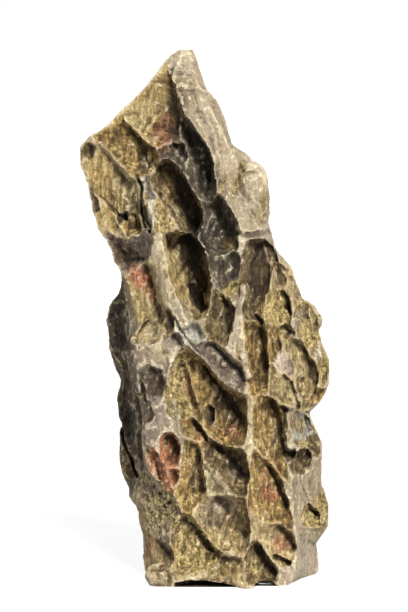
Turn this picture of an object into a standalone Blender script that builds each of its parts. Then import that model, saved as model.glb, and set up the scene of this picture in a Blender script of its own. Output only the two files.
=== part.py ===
"""Dragon stone: one upright natural stone, its faces scooped into slanted pits between thin ridges."""

import math
import random

import bmesh
import bpy
from mathutils import Vector
from mathutils.bvhtree import BVHTree

# Driving dimensions. Every place below is counted in grid steps, x from the middle and z from the ground.
STONE_HEIGHT = 0.3013
HEIGHT_STEPS = 538
STEP = STONE_HEIGHT / HEIGHT_STEPS
MM = 0.001

NODE = "dragon_stone"
VOXEL = 1.7 * MM
TRIANGLES = 9300
SEED = 21

# Lines that run up the main mass, each point as height, x, depth (front is negative).
LEFT_EDGE = (
    (-10, -48, -22), (0, -53, -23), (14, -58, -20), (32, -61, -18), (50, -61, -18), (75, -65, -20),
    (92, -72, -22), (104, -69, -26), (120, -61, -30), (148, -61, -33), (180, -62, -34), (205, -67, -35),
    (238, -73, -34), (258, -74, -31), (270, -75, -28), (300, -80, -24), (318, -83, -20), (326, -90, -18),
    (337, -92, -20), (349, -97, -22), (359, -107, -20), (376, -112, -18), (400, -115, -16), (418, -121, -13),
    (434, -128, -8), (443, -124, -10), (453, -113, -12), (459, -101, -13), (470, -90, -13), (491, -69, -11),
    (504, -57, -9), (520, -45, -6), (531, -36, -4), (538, -24, -1),
)
FRONT_LEFT_CREST = (
    (-10, -40, -66), (0, -44, -70), (25, -30, -75), (60, -28, -74), (90, -30, -73), (118, -30, -74),
    (150, -26, -76), (200, -36, -73), (240, -34, -70), (288, -34, -67), (318, -42, -64), (352, -48, -58),
    (390, -56, -50), (420, -52, -44), (445, -44, -38), (478, -30, -27), (510, -32, -14), (538, -23, -4),
)
MIDDLE_CREST = (
    (-10, 40, -80), (0, 44, -85), (45, 45, -87), (90, 43, -88), (126, 40, -88), (150, 47, -87),
    (190, 48, -85), (228, 44, -83), (262, 38, -81), (300, 40, -79), (340, 44, -74), (363, 36, -68),
    (400, 14, -60), (430, 2, -52), (460, -8, -42), (480, -24, -32), (512, -32, -18), (538, -20, -4),
)
RIGHT_CREST = (
    (-10, 78, -58), (0, 82, -62), (20, 92, -60), (50, 92, -63), (80, 89, -66), (110, 87, -68),
    (138, 89, -69), (170, 83, -72), (200, 89, -68), (228, 88, -61), (262, 85, -55), (300, 74, -54),
    (330, 64, -58), (349, 58, -54), (376, 54, -42), (400, 46, -40), (430, 30, -36), (455, 18, -30),
    (480, 6, -24), (505, -6, -14), (538, -16, -3),
)
RIGHT_EDGE = (
    (-10, 82, -14), (0, 88, -12), (9, 108, -8), (16, 114, -4), (30, 114, -4), (44, 112, -6), (51, 116, -8),
    (58, 122, -10), (66, 127, -10), (84, 124, -10), (102, 118, -10), (116, 117, -12), (135, 119, -12),
    (152, 115, -12), (168, 109, -12), (175, 106, -12), (181, 113, -13), (189, 119, -14), (195, 123, -14),
    (202, 124, -14), (206, 128, -14), (218, 128, -14), (231, 125, -12), (242, 118, -10), (258, 115, -8),
    (273, 115, -8), (283, 110, -8), (286, 102, -8), (299, 95, -8), (308, 91, -8), (322, 87, -8),
    (336, 74, -8), (345, 71, -8), (357, 67, -8), (366, 63, -6), (373, 66, -6), (386, 66, -6), (398, 61, -6),
    (406, 58, -6), (418, 51, -6), (433, 46, -6), (438, 38, -6), (444, 29, -6), (466, 22, -5), (487, 15, -4),
    (491, 12, -4), (498, 4, -3), (531, -8, -1), (538, -12, 0),
)
BACK_RIGHT = (
    (-10, 66, 40), (0, 74, 44), (40, 92, 52), (110, 96, 50), (160, 90, 54), (215, 98, 50), (270, 86, 46),
    (330, 60, 48), (390, 46, 40), (430, 30, 36), (470, 10, 24), (505, -6, 14), (538, -15, 4),
)
BACK_MIDDLE = (
    (-10, 8, 74), (0, 10, 78), (60, 18, 86), (130, 14, 80), (190, 6, 86), (250, 10, 80), (310, -4, 84),
    (370, -20, 72), (420, -30, 60), (465, -36, 40), (505, -34, 22), (538, -21, 5),
)
BACK_LEFT = (
    (-10, -36, 46), (0, -40, 50), (60, -46, 58), (140, -50, 52), (220, -52, 56), (300, -56, 50),
    (345, -72, 48), (400, -88, 38), (434, -98, 26), (455, -88, 24), (480, -66, 18), (510, -46, 10),
    (538, -25, 3),
)
MAIN_LINES = (
    LEFT_EDGE, FRONT_LEFT_CREST, MIDDLE_CREST, RIGHT_CREST, RIGHT_EDGE, BACK_RIGHT, BACK_MIDDLE, BACK_LEFT,
)
LEVEL_SPACING = 4

# The lobe that bulges from the back left, in the same terms.
LOBE_LINES = (
    (
        (72, -58, 24), (84, -69, 28), (94, -76, 30), (98, -74, 30), (108, -79, 32), (118, -83, 34),
        (135, -84, 34), (155, -85, 34), (164, -83, 34), (172, -86, 34), (190, -88, 34), (196, -87, 34),
        (207, -84, 34), (222, -89, 36), (238, -95, 36), (252, -95, 36), (267, -99, 36), (279, -96, 34),
        (285, -93, 32), (291, -87, 30), (300, -84, 26), (315, -83, 20), (330, -82, 12), (344, -76, 8),
    ),
    (
        (72, -46, 2), (94, -60, 4), (118, -64, 8), (150, -68, 12), (190, -70, 14), (238, -78, 14),
        (267, -80, 14), (300, -74, 8), (330, -70, 0), (344, -60, -8),
    ),
    ((72, -6, 6), (344, -20, 0)),
    ((72, -6, 54), (344, -20, 44)),
    (
        (72, -44, 54), (94, -62, 64), (118, -70, 70), (150, -70, 74), (207, -70, 76), (245, -80, 74),
        (267, -80, 70), (291, -74, 60), (315, -70, 52), (344, -60, 42),
    ),
)

# Swellings on the front: middle as x, depth, height, then half sizes in the same order.
SWELLINGS = {
    "knee": ((-50, -50, 226), (25, 24, 44)),
    "knob": ((-38, -60, 150), (24, 20, 46)),
    "shoulder": ((-76, -34, 334), (18, 16, 10)),
    "right top mass": ((48, -34, 392), (18, 16, 34)),
    "edge knob": ((113, -4, 267), (6, 9, 8)),
    "yellow bump": ((26, -62, 343), (8, 10, 8)),
    "left foot": ((-44, -62, 12), (14, 14, 12)),
    "lower right edge": ((112, -22, 66), (16, 18, 20)),
}

# The pits of the front: rim outline, line along the deepest part, depth in millimetres, wall steepness.
FRONT_PITS = {
    "peak hollow": (
        ((-40, 527), (-33, 506), (-27, 484), (-21, 460), (-20, 448), (-32, 444), (-44, 441), (-55, 445),
         (-68, 454), (-79, 464), (-84, 473), (-70, 486), (-56, 500)),
        ((-42, 500), (-36, 460)), 12, 1.8,
    ),
    "band under the peak hollow": (
        ((-87, 472), (-78, 460), (-67, 450), (-54, 440), (-48, 436), (-46, 422), (-54, 412), (-67, 411),
         (-79, 424), (-93, 440), (-102, 450), (-98, 459)),
        ((-76, 446), (-56, 428)), 11, 2.2,
    ),
    "left facet": (
        ((-124, 440), (-114, 449), (-104, 446), (-94, 435), (-84, 421), (-67, 405), (-62, 396), (-61, 383),
         (-63, 362), (-79, 352), (-94, 355), (-103, 361), (-108, 378), (-112, 402)),
        ((-92, 404), (-78, 372)), 6, 1.6,
    ),
    "long slot": (
        ((-48, 424), (-38, 428), (-28, 425), (-19, 413), (-10, 393), (-3, 378), (2, 361), (-4, 353),
         (-14, 358), (-24, 371), (-35, 388), (-45, 402)),
        ((-28, 418), (-4, 372)), 30, 2.6,
    ),
    "hollow over the slot": (
        ((-44, 440), (-31, 444), (-18, 446), (-15, 428), (-12, 408), (-19, 413), (-28, 425), (-38, 428),
         (-48, 424)),
        ((-24, 440), (-16, 420)), 9, 2.0,
    ),
    "groove beside the slab": (
        ((-20, 473), (-13, 471), (-6, 460), (-1, 445), (3, 428), (6, 410), (8, 398), (7, 386),
         (-2, 384), (-8, 393), (-12, 405), (-14, 423), (-17, 448)),
        ((-10, 462), (4, 396)), 17, 2.4,
    ),
    "rough hollow": (
        ((7, 398), (18, 390), (27, 376), (35, 361), (38, 348), (35, 326), (24, 311), (11, 314),
         (3, 326), (-1, 343), (1, 363), (0, 384)),
        ((12, 384), (28, 330)), 9, 1.8,
    ),
    "main cavity": (
        ((-41, 353), (-26, 356), (-12, 356), (-5, 343), (0, 331), (5, 313), (8, 298), (9, 283),
         (2, 270), (-6, 272), (-14, 284), (-22, 299), (-30, 315), (-36, 330)),
        ((-14, 348), (4, 296)), 26, 2.4,
    ),
    "smooth oval under the cavity": (
        ((-23, 270), (-14, 275), (-4, 270), (-1, 258), (-8, 249), (-19, 254)),
        ((-14, 266), (-8, 258)), 3.5, 1.6,
    ),
    "brown wall hollow": (
        ((9, 304), (18, 311), (27, 299), (30, 278), (31, 253), (35, 230), (24, 236), (11, 250),
         (3, 262), (10, 284)),
        ((22, 300), (26, 250)), 9, 1.7,
    ),
    "dark trough": (
        ((-6, 247), (6, 249), (16, 243), (26, 236), (37, 224), (43, 211), (42, 200), (34, 199),
         (22, 208), (12, 219), (2, 231)),
        ((8, 242), (38, 210)), 9, 2.2,
    ),
    "lozenge pit": (
        ((-24, 240), (-14, 243), (-1, 227), (12, 210), (30, 196), (38, 181), (41, 163), (36, 147),
         (24, 143), (12, 148), (3, 162), (-1, 178), (-8, 193), (-17, 214)),
        ((2, 216), (32, 168)), 15, 2.0,
    ),
    "strip left of the lozenge": (
        ((-32, 233), (-25, 237), (-18, 216), (-10, 196), (-2, 178), (1, 163), (-8, 168), (-18, 171),
         (-29, 172), (-32, 193), (-34, 213)),
        ((-22, 224), (-6, 176)), 9, 1.9,
    ),
    "upper right pit": (
        ((49, 343), (61, 345), (72, 340), (71, 326), (68, 308), (62, 291), (60, 270), (55, 257),
         (45, 262), (42, 280), (46, 298), (53, 313), (50, 330)),
        ((60, 338), (54, 290)), 18, 2.2,
    ),
    "right rough facet": (
        ((62, 294), (76, 297), (90, 291), (100, 280), (94, 263), (76, 260), (61, 266)),
        ((72, 288), (88, 276)), 6, 1.6,
    ),
    "right oval pit": (
        ((82, 249), (93, 253), (102, 244), (113, 226), (117, 210), (113, 193), (102, 179), (94, 184),
         (85, 202), (80, 218), (78, 236)),
        ((98, 240), (106, 200)), 12, 2.0,
    ),
    "pit right of the middle ridge": (
        ((42, 252), (54, 258), (63, 250), (66, 228), (63, 207), (53, 194), (44, 197), (41, 223)),
        ((54, 246), (58, 214)), 11, 1.9,
    ),
    "blade facet": (
        ((63, 257), (70, 244), (79, 224), (88, 204), (81, 187), (66, 188), (56, 193), (64, 207), (66, 233)),
        ((72, 232), (76, 200)), 3, 1.5,
    ),
    "pit under the blade": (
        ((53, 186), (66, 190), (79, 184), (84, 163), (86, 143), (84, 128), (82, 114), (72, 117),
         (60, 131), (53, 148), (51, 168)),
        ((66, 184), (78, 134)), 14, 2.0,
    ),
    "pit behind the grey ridge": (
        ((88, 181), (96, 177), (107, 172), (112, 156), (114, 138), (99, 134), (92, 147), (88, 163)),
        ((100, 172), (106, 146)), 7, 1.8,
    ),
    "small dark slot": (
        ((82, 140), (91, 140), (92, 130), (84, 131)),
        ((84, 138), (89, 134)), 8, 2.0,
    ),
    "brown edge pit": (
        ((93, 137), (112, 134), (110, 118), (97, 113)),
        ((104, 132), (102, 122)), 8, 2.0,
    ),
    "small edge hollow": (
        ((103, 80), (115, 77), (118, 64), (110, 55), (102, 66)),
        ((108, 76), (112, 66)), 5, 1.8,
    ),
    "rust pit": (
        ((51, 132), (61, 126), (71, 111), (80, 98), (88, 82), (94, 66), (94, 53), (72, 61),
         (58, 67), (47, 82), (42, 98), (45, 118)),
        ((58, 118), (80, 78)), 11, 1.8,
    ),
    "tan facet": (
        ((52, 66), (71, 60), (88, 50), (94, 37), (89, 24), (73, 27), (58, 37), (46, 47)),
        ((66, 54), (84, 36)), 8, 1.7,
    ),
    "dark foot pit": (
        ((46, 44), (58, 36), (73, 22), (69, 8), (54, 5), (44, 13)),
        ((52, 38), (64, 22)), 11, 1.8,
    ),
    "centre pit": (
        ((0, 161), (11, 148), (24, 142), (36, 136), (44, 123), (42, 98), (32, 100), (22, 107),
         (11, 117), (4, 131), (0, 146)),
        ((10, 144), (34, 112)), 14, 2.0,
    ),
    "olive facet": (
        ((-4, 128), (6, 124), (22, 107), (19, 90), (3, 93), (-3, 112)),
        ((2, 116), (12, 98)), 5, 1.6,
    ),
    "yellow notch": (
        ((-22, 171), (-11, 171), (-7, 162), (-12, 151), (-21, 152)),
        ((-18, 168), (-12, 160)), 7, 2.0,
    ),
    "ochre pit": (
        ((-18, 149), (-9, 142), (-5, 121), (0, 100), (3, 86), (-8, 75), (-22, 75), (-29, 88),
         (-24, 108), (-20, 128)),
        ((-12, 138), (-8, 94)), 10, 1.8,
    ),
    "knob pit": (
        ((-37, 153), (-29, 152), (-25, 140), (-27, 125), (-34, 124), (-39, 138)),
        ((-33, 148), (-30, 132)), 8, 2.2,
    ),
    "red pit": (
        ((-59, 149), (-53, 142), (-42, 128), (-34, 118), (-30, 106), (-33, 86), (-44, 105), (-57, 126)),
        ((-50, 138), (-36, 100)), 8, 1.8,
    ),
    "smooth patch": (
        ((-53, 61), (-39, 61), (-25, 64), (-24, 43), (-31, 25), (-41, 35), (-50, 48)),
        ((-40, 54), (-32, 38)), 3, 1.4,
    ),
    "corner facet": (
        ((-60, 57), (-49, 47), (-39, 36), (-33, 26), (-52, 15), (-58, 24)),
        ((-52, 46), (-44, 30)), 6, 1.5,
    ),
    "foot hollow": (
        ((-25, 75), (-16, 78), (-8, 67), (1, 52), (10, 39), (3, 18), (-14, 6), (-27, 14), (-28, 43)),
        ((-16, 66), (0, 36)), 13, 1.9,
    ),
    "front facet": (
        ((-9, 84), (2, 91), (20, 91), (36, 95), (43, 73), (44, 53), (42, 36), (28, 36),
         (16, 39), (3, 50), (-5, 66)),
        ((6, 80), (30, 54)), 7, 1.6,
    ),
    "foot arch": (
        ((11, 32), (36, 31), (43, 13), (34, -8), (11, -8), (-9, 4)),
        ((14, 10), (28, 2)), 8, 1.6,
    ),
    "knee hollow": (
        ((-57, 216), (-44, 217), (-40, 203), (-48, 195), (-58, 200)),
        ((-52, 210), (-46, 204)), 6, 2.0,
    ),
    "olive hollow": (
        ((-76, 327), (-59, 333), (-51, 313), (-45, 290), (-40, 275), (-44, 253), (-58, 254), (-66, 260),
         (-71, 282), (-75, 303)),
        ((-62, 316), (-54, 268)), 8, 1.6,
    ),
    "shoulder hollow": (
        ((-94, 348), (-80, 352), (-62, 358), (-55, 345), (-60, 334), (-78, 328), (-87, 334)),
        ((-84, 344), (-66, 344)), 7, 1.7,
    ),
    "lobe hollow": (
        ((-89, 282), (-84, 284), (-80, 277), (-79, 253), (-83, 244), (-89, 250), (-91, 265)),
        ((-86, 276), (-85, 252)), 6, 1.8,
    ),
    "lobe middle hollow": (
        ((-84, 232), (-78, 234), (-74, 214), (-74, 196), (-80, 196), (-80, 212)),
        ((-80, 226), (-78, 200)), 6, 1.8,
    ),
    "lobe lower hollow": (
        ((-80, 180), (-72, 180), (-66, 156), (-69, 130), (-77, 126), (-78, 150)),
        ((-75, 172), (-72, 136)), 6, 1.8,
    ),
    "left edge hollow": (
        ((-62, 206), (-54, 190), (-58, 168), (-62, 158), (-70, 176), (-68, 196)),
        ((-62, 196), (-62, 172)), 6, 1.7,
    ),
}

# Hollows under the front edge, between the feet: outline in the front view, front depth, back depth.
UNDERCUTS = (
    (((-34, -14), (-31, 6), (-14, 9), (4, 9), (24, 5), (38, 0), (42, -14)), -110, -34),
    (((48, -14), (50, 4), (58, 8), (68, 8), (75, 3), (79, -14)), -110, -30),
    (((84, -14), (88, 0), (98, 5), (108, 9), (118, 15), (134, 16), (134, -14)), -110, 4),
    (((-20, -14), (-12, 5), (24, 7), (52, 4), (58, -14)), -26, 46),
)

# The pits of the sides and the back stand in slanted rows round the stone.
ROW_HEIGHTS = (20, 66, 116, 168, 222, 276, 328, 380, 428, 472)
AROUND_FIRST, AROUND_LAST = 84, 278
PIT_SPACING = 25 * MM
PIT_HALF_LENGTH = 40
PIT_HALF_WIDTH = 21
PIT_SLANT = 24
EDGE_MARGIN = 4

GROWTH = 3.0
THINNEST_SHARE = 0.17
SLEEVE = 26 * MM
BOWL_STEPS = 6
SEARCH_REACH = 0.3
GROUND_HALF = 0.3


def clear_scene():
    for obj in list(bpy.data.objects):
        bpy.data.objects.remove(obj, do_unlink=True)


def stone_material():
    material = bpy.data.materials.new("stone")
    material.use_nodes = True
    shader = material.node_tree.nodes["Principled BSDF"]
    shader.inputs["Base Color"].default_value = (0.33, 0.27, 0.17, 1.0)
    shader.inputs["Roughness"].default_value = 0.85
    shader.inputs["Metallic"].default_value = 0.0
    return material


def new_object(name, mesh, collection=None):
    obj = bpy.data.objects.new(name, mesh)
    (collection or bpy.context.scene.collection).objects.link(obj)
    return obj


def loft(name, rings, collection=None):
    """A closed solid through rings of equally many points, its ends capped."""
    mesh = bpy.data.meshes.new(name)
    shape = bmesh.new()
    loops = [[shape.verts.new(point) for point in ring] for ring in rings]
    count = len(loops[0])
    for low, high in zip(loops, loops[1:]):
        for i in range(count):
            j = (i + 1) % count
            shape.faces.new((low[i], low[j], high[j], high[i]))
    shape.faces.new(list(reversed(loops[0])))
    shape.faces.new(loops[-1])
    bmesh.ops.triangulate(shape, faces=shape.faces[:])
    bmesh.ops.recalc_face_normals(shape, faces=shape.faces[:])
    shape.to_mesh(mesh)
    shape.free()
    return new_object(name, mesh, collection)


def along_line(line, height):
    """The point of a line at a height, as x and depth."""
    for low, high in zip(line, line[1:]):
        if low[0] <= height <= high[0]:
            share = (height - low[0]) / (high[0] - low[0])
            return low[1] + share * (high[1] - low[1]), low[2] + share * (high[2] - low[2])
    end = line[0] if height < line[0][0] else line[-1]
    return end[1], end[2]


def skin(name, lines):
    """A solid lofted through lines that run up it."""
    first = lines[0][0][0]
    last = lines[0][-1][0]
    count = round((last - first) / LEVEL_SPACING)
    rings = []
    for level in range(count + 1):
        height = first + (last - first) * level / count
        ring = []
        for line in lines:
            x, depth = along_line(line, height)
            ring.append(Vector((x, depth, height)) * STEP)
        rings.append(ring)
    return loft(name, rings)


def swelling(name, middle, half_sizes):
    bpy.ops.mesh.primitive_ico_sphere_add(subdivisions=3, radius=1)
    obj = bpy.context.object
    obj.name = name
    for vertex in obj.data.vertices:
        vertex.co = Vector([(middle[i] + vertex.co[i] * half_sizes[i]) * STEP for i in range(3)])
    return obj


def apply_modifiers(obj):
    bpy.ops.object.select_all(action="DESELECT")
    bpy.context.view_layer.objects.active = obj
    obj.select_set(True)
    for modifier in list(obj.modifiers):
        bpy.ops.object.modifier_apply(modifier=modifier.name)


def boolean(obj, other, operation):
    modifier = obj.modifiers.new(operation.lower(), "BOOLEAN")
    modifier.operation = operation
    modifier.solver = "EXACT"
    if isinstance(other, bpy.types.Collection):
        modifier.operand_type = "COLLECTION"
        modifier.collection = other
    else:
        modifier.object = other
    apply_modifiers(obj)


def rounded(points):
    """The outline with its corners cut once."""
    result = []
    for i, point in enumerate(points):
        following = points[(i + 1) % len(points)]
        result.append(point.lerp(following, 0.2))
        result.append(point.lerp(following, 0.8))
    return result


def nearest_on_line(point, start, end):
    along = end - start
    share = (point - start).dot(along) / max(along.length_squared, 1e-9)
    return start + along * min(max(share, 0), 1)


class View:
    """A direction in which pits are drawn: flat places are x across and z up, in steps."""

    def __init__(self, tree, middle=0.0, turn=0.0):
        self.tree = tree
        self.inward = Vector((-math.sin(turn), math.cos(turn), 0))
        self.across = Vector((math.cos(turn), math.sin(turn), 0))
        self.far = Vector((middle * STEP, 0, 0)) - self.inward * SEARCH_REACH

    def start(self, flat):
        return self.far + self.across * flat.x * STEP + Vector((0, 0, flat.y * STEP))

    def thickness(self, flat):
        """How far the stone reaches behind a flat place."""
        hit = self.tree.ray_cast(self.start(flat), self.inward)[0]
        if hit is None:
            return 0
        through = self.tree.ray_cast(hit + self.inward * MM, self.inward)[0]
        return (through - hit).length if through else 0

    def kept_behind(self, flat, front):
        """The flat place moved sideways until it lies behind a depth, so that a pit leaves the outline whole."""
        for _ in range(12):
            place = self.on_stone(flat, flat)
            if place is not None and place.y > front:
                break
            flat = flat + Vector((3 if self.across.y > 0 else -3, 0))
        return flat

    def on_stone(self, flat, middle):
        """The place on the stone, or at the depth of the nearest place towards the middle that is on it."""
        for share in range(11):
            start = self.start(flat.lerp(middle, share / 10))
            hit = self.tree.ray_cast(start, self.inward)[0]
            if hit:
                return self.start(flat) + self.inward * (hit - start).dot(self.inward)
        return None


def scoop(name, view, collection, outline, deepest, depth, steepness, fronts=None):
    """A cutter: a bowl lofted from the pit's rim to its deepest line, and a straight sleeve outside the rim."""
    corners = [Vector(corner) for corner in outline]
    middle = sum(corners, Vector((0, 0))) / len(corners)
    start, end = Vector(deepest[0]), Vector(deepest[1])
    rim, floor = [], []
    grown = [corner + (corner - nearest_on_line(corner, start, end)).normalized() * GROWTH for corner in corners]
    for i, flat in enumerate(rounded(grown)):
        low = nearest_on_line(flat, start, end)
        low += (flat - low) * 0.04
        if fronts:
            flat = view.kept_behind(flat, fronts[i])
        rim_place = view.on_stone(flat, middle)
        floor_place = view.on_stone(low, middle)
        if rim_place is None or floor_place is None:
            return
        rim.append(rim_place)
        floor.append(floor_place + view.inward * depth)
    rings = [[place - view.inward * SLEEVE for place in rim], rim]
    for step in range(1, BOWL_STEPS + 1):
        along = step / BOWL_STEPS
        sinking = 1 - (1 - along) ** steepness
        ring = []
        for top, bottom in zip(rim, floor):
            drop = (bottom - top).dot(view.inward)
            ring.append(top.lerp(bottom, along) + view.inward * drop * (sinking - along))
        rings.append(ring)
    loft(name, rings, collection)


def undercut(name, outline, front, back, collection):
    """A low hollow under the stone that narrows towards its back end."""
    middle = sum((Vector(corner) for corner in outline), Vector((0, 0))) / len(outline)
    rings = []
    for depth, size in ((front, 1.0), ((front + back) / 2, 0.96), (back, 0.6)):
        ring = []
        for corner in outline:
            flat = middle + (Vector(corner) - middle) * size
            ring.append(Vector((flat.x, depth, flat.y)) * STEP)
        rings.append(ring)
    loft(name, rings, collection)


def surface_of(obj):
    return BVHTree.FromObject(obj, bpy.context.evaluated_depsgraph_get())


def main_body():
    body = skin(NODE, MAIN_LINES)
    lumps = bpy.data.collections.new("lumps")
    bpy.context.scene.collection.children.link(lumps)
    parts = [skin("lobe", LOBE_LINES)]
    for name, (middle, half_sizes) in SWELLINGS.items():
        parts.append(swelling(name, middle, half_sizes))
    for obj in parts:
        for holder in list(obj.users_collection):
            holder.objects.unlink(obj)
        lumps.objects.link(obj)
    boolean(body, lumps, "UNION")
    drop_collection(lumps)
    return body


def drop_collection(collection):
    for obj in list(collection.objects):
        bpy.data.objects.remove(obj, do_unlink=True)
    bpy.data.collections.remove(collection)


def cut_front(tree, cutters):
    view = View(tree)
    for name, (outline, deepest, depth, steepness) in FRONT_PITS.items():
        scoop(name, view, cutters, outline, deepest, depth * MM, steepness)


def cut_sides_and_back(tree, cutters):
    chance = random.Random(SEED)
    for row, height in enumerate(ROW_HEIGHTS):
        left, right = along_line(LEFT_EDGE, height)[0], along_line(RIGHT_EDGE, height)[0]
        back = along_line(BACK_MIDDLE, height)[1]
        half = (right - left) / 2
        girth = math.pi * (half + back) / 2 * STEP * (AROUND_LAST - AROUND_FIRST) / 180
        count = max(3, round(girth / PIT_SPACING))
        for i in range(count):
            share = (i + 0.5 * (row % 2) + 0.25 + chance.uniform(-0.15, 0.15)) / count
            turn = math.radians(AROUND_FIRST + share * (AROUND_LAST - AROUND_FIRST))
            length = PIT_HALF_LENGTH * chance.uniform(0.7, 1.2)
            width = PIT_HALF_WIDTH * chance.uniform(0.7, 1.3)
            slant = math.radians(PIT_SLANT + chance.uniform(-14, 14))
            lift = height + chance.uniform(-8, 8)
            upward = Vector((math.sin(slant), math.cos(slant)))
            sideways = Vector((math.cos(slant), -math.sin(slant)))
            outline = []
            for corner in range(7):
                around = math.tau * corner / 7 + chance.uniform(-0.25, 0.25)
                flat = sideways * math.cos(around) * width + upward * math.sin(around) * length
                outline.append(flat + Vector((0, lift)))
            shift = sideways * width * chance.uniform(0.1, 0.45) + Vector((0, lift))
            deepest = (upward * length * 0.55 + shift, upward * length * -0.15 + shift)
            view = View(tree, (left + right) / 2, turn)
            depth = min(chance.uniform(6, 13) * MM, view.thickness(shift) * THINNEST_SHARE)
            front = max(along_line(LEFT_EDGE, height)[1], along_line(RIGHT_EDGE, height)[1]) + EDGE_MARGIN
            fronts = [(front + chance.uniform(0, 14)) * STEP for _ in range(2 * len(outline))]
            scoop(f"pit {row} {i}", view, cutters, outline, deepest, depth, chance.uniform(1.6, 2.4), fronts)


def keep_largest(obj):
    """Crumbs that the pits have cut free are dropped."""
    shape = bmesh.new()
    shape.from_mesh(obj.data)
    seen = set()
    groups = []
    for start in shape.verts:
        if start in seen:
            continue
        group, waiting = [], [start]
        seen.add(start)
        while waiting:
            vertex = waiting.pop()
            group.append(vertex)
            for edge in vertex.link_edges:
                other = edge.other_vert(vertex)
                if other not in seen:
                    seen.add(other)
                    waiting.append(other)
        groups.append(group)
    groups.sort(key=len)
    for group in groups[:-1]:
        bmesh.ops.delete(shape, geom=group, context="VERTS")
    shape.to_mesh(obj.data)
    shape.free()


def triangle_count(obj):
    return sum(len(face.vertices) - 2 for face in obj.data.polygons)


def resurface(obj):
    remesh = obj.modifiers.new("remesh", "REMESH")
    remesh.mode = "VOXEL"
    remesh.voxel_size = VOXEL
    apply_modifiers(obj)
    keep_largest(obj)
    decimate = obj.modifiers.new("decimate", "DECIMATE")
    decimate.ratio = TRIANGLES / triangle_count(obj)
    apply_modifiers(obj)


def ground():
    bpy.ops.mesh.primitive_cube_add(size=2 * GROUND_HALF, location=(0, 0, -GROUND_HALF))
    return bpy.context.object


def centre(obj):
    """The origin goes to the middle of the footprint, on the ground."""
    corners = [Vector(corner) for corner in obj.bound_box]
    low = [min(corner[i] for corner in corners) for i in range(3)]
    high = [max(corner[i] for corner in corners) for i in range(3)]
    shift = Vector((-(low[0] + high[0]) / 2, -(low[1] + high[1]) / 2, -low[2]))
    for vertex in obj.data.vertices:
        vertex.co += shift


def main():
    clear_scene()
    body = main_body()
    tree = surface_of(body)
    cutters = bpy.data.collections.new("pits")
    bpy.context.scene.collection.children.link(cutters)
    cut_front(tree, cutters)
    cut_sides_and_back(tree, cutters)
    for i, (outline, front, back) in enumerate(UNDERCUTS):
        undercut(f"undercut {i}", outline, front, back, cutters)
    boolean(body, cutters, "DIFFERENCE")
    drop_collection(cutters)
    resurface(body)
    floor = ground()
    boolean(body, floor, "DIFFERENCE")
    bpy.data.objects.remove(floor, do_unlink=True)
    centre(body)
    body.data.materials.clear()
    body.data.materials.append(stone_material())


main()
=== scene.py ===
"""Dragon stone: one upright clay stone, scooped all over into slanted pits between thin ridges."""

import math
import random

import bmesh
import bpy
import numpy as np
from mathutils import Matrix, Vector, noise
from mathutils.bvhtree import BVHTree
from mathutils.kdtree import KDTree


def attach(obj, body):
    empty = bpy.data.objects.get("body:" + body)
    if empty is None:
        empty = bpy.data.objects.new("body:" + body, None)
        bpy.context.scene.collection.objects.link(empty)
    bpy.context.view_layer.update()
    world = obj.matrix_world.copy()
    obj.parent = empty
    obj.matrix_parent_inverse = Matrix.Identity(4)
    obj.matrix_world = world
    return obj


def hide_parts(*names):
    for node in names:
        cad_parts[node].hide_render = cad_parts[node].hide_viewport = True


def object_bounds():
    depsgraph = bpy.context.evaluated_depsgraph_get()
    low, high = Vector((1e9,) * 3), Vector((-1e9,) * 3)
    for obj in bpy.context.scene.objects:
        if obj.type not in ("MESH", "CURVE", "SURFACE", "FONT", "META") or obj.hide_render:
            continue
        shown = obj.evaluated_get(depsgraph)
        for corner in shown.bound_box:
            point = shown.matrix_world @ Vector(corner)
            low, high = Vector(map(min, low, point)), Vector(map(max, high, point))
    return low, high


bl_info = {
    "name": "Dragon Stone",
    "version": (1, 0, 0),
    "blender": (4, 5, 0),
    "location": "View3D > Sidebar > Dragon Stone",
    "description": "Models an upright stone scooped into slanted pits, with its stage",
    "category": "Object",
}

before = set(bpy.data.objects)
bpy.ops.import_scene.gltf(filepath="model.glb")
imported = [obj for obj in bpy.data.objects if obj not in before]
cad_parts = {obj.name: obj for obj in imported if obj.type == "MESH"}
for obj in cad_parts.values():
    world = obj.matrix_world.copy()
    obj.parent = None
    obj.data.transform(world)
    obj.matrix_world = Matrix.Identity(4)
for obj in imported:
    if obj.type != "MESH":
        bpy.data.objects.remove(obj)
CAD_LOW, CAD_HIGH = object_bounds()

NODE = "dragon_stone"
PIECE = "dragon_stone_surface"
MM = 0.001
TINY = 1e-9

# Places on the stone are drawn in grid steps, as the eye sees them: x from the middle, height above the feet.
HEIGHT_STEPS = 527
STEP = (CAD_HIGH.z - CAD_LOW.z) / HEIGHT_STEPS
EYE_TILT = math.radians(6)
EYE_DISTANCE = 3400
AIM_HEIGHT = 282
AIM_RISE = 271.3
PICTURE_HEIGHT = 612


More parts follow.
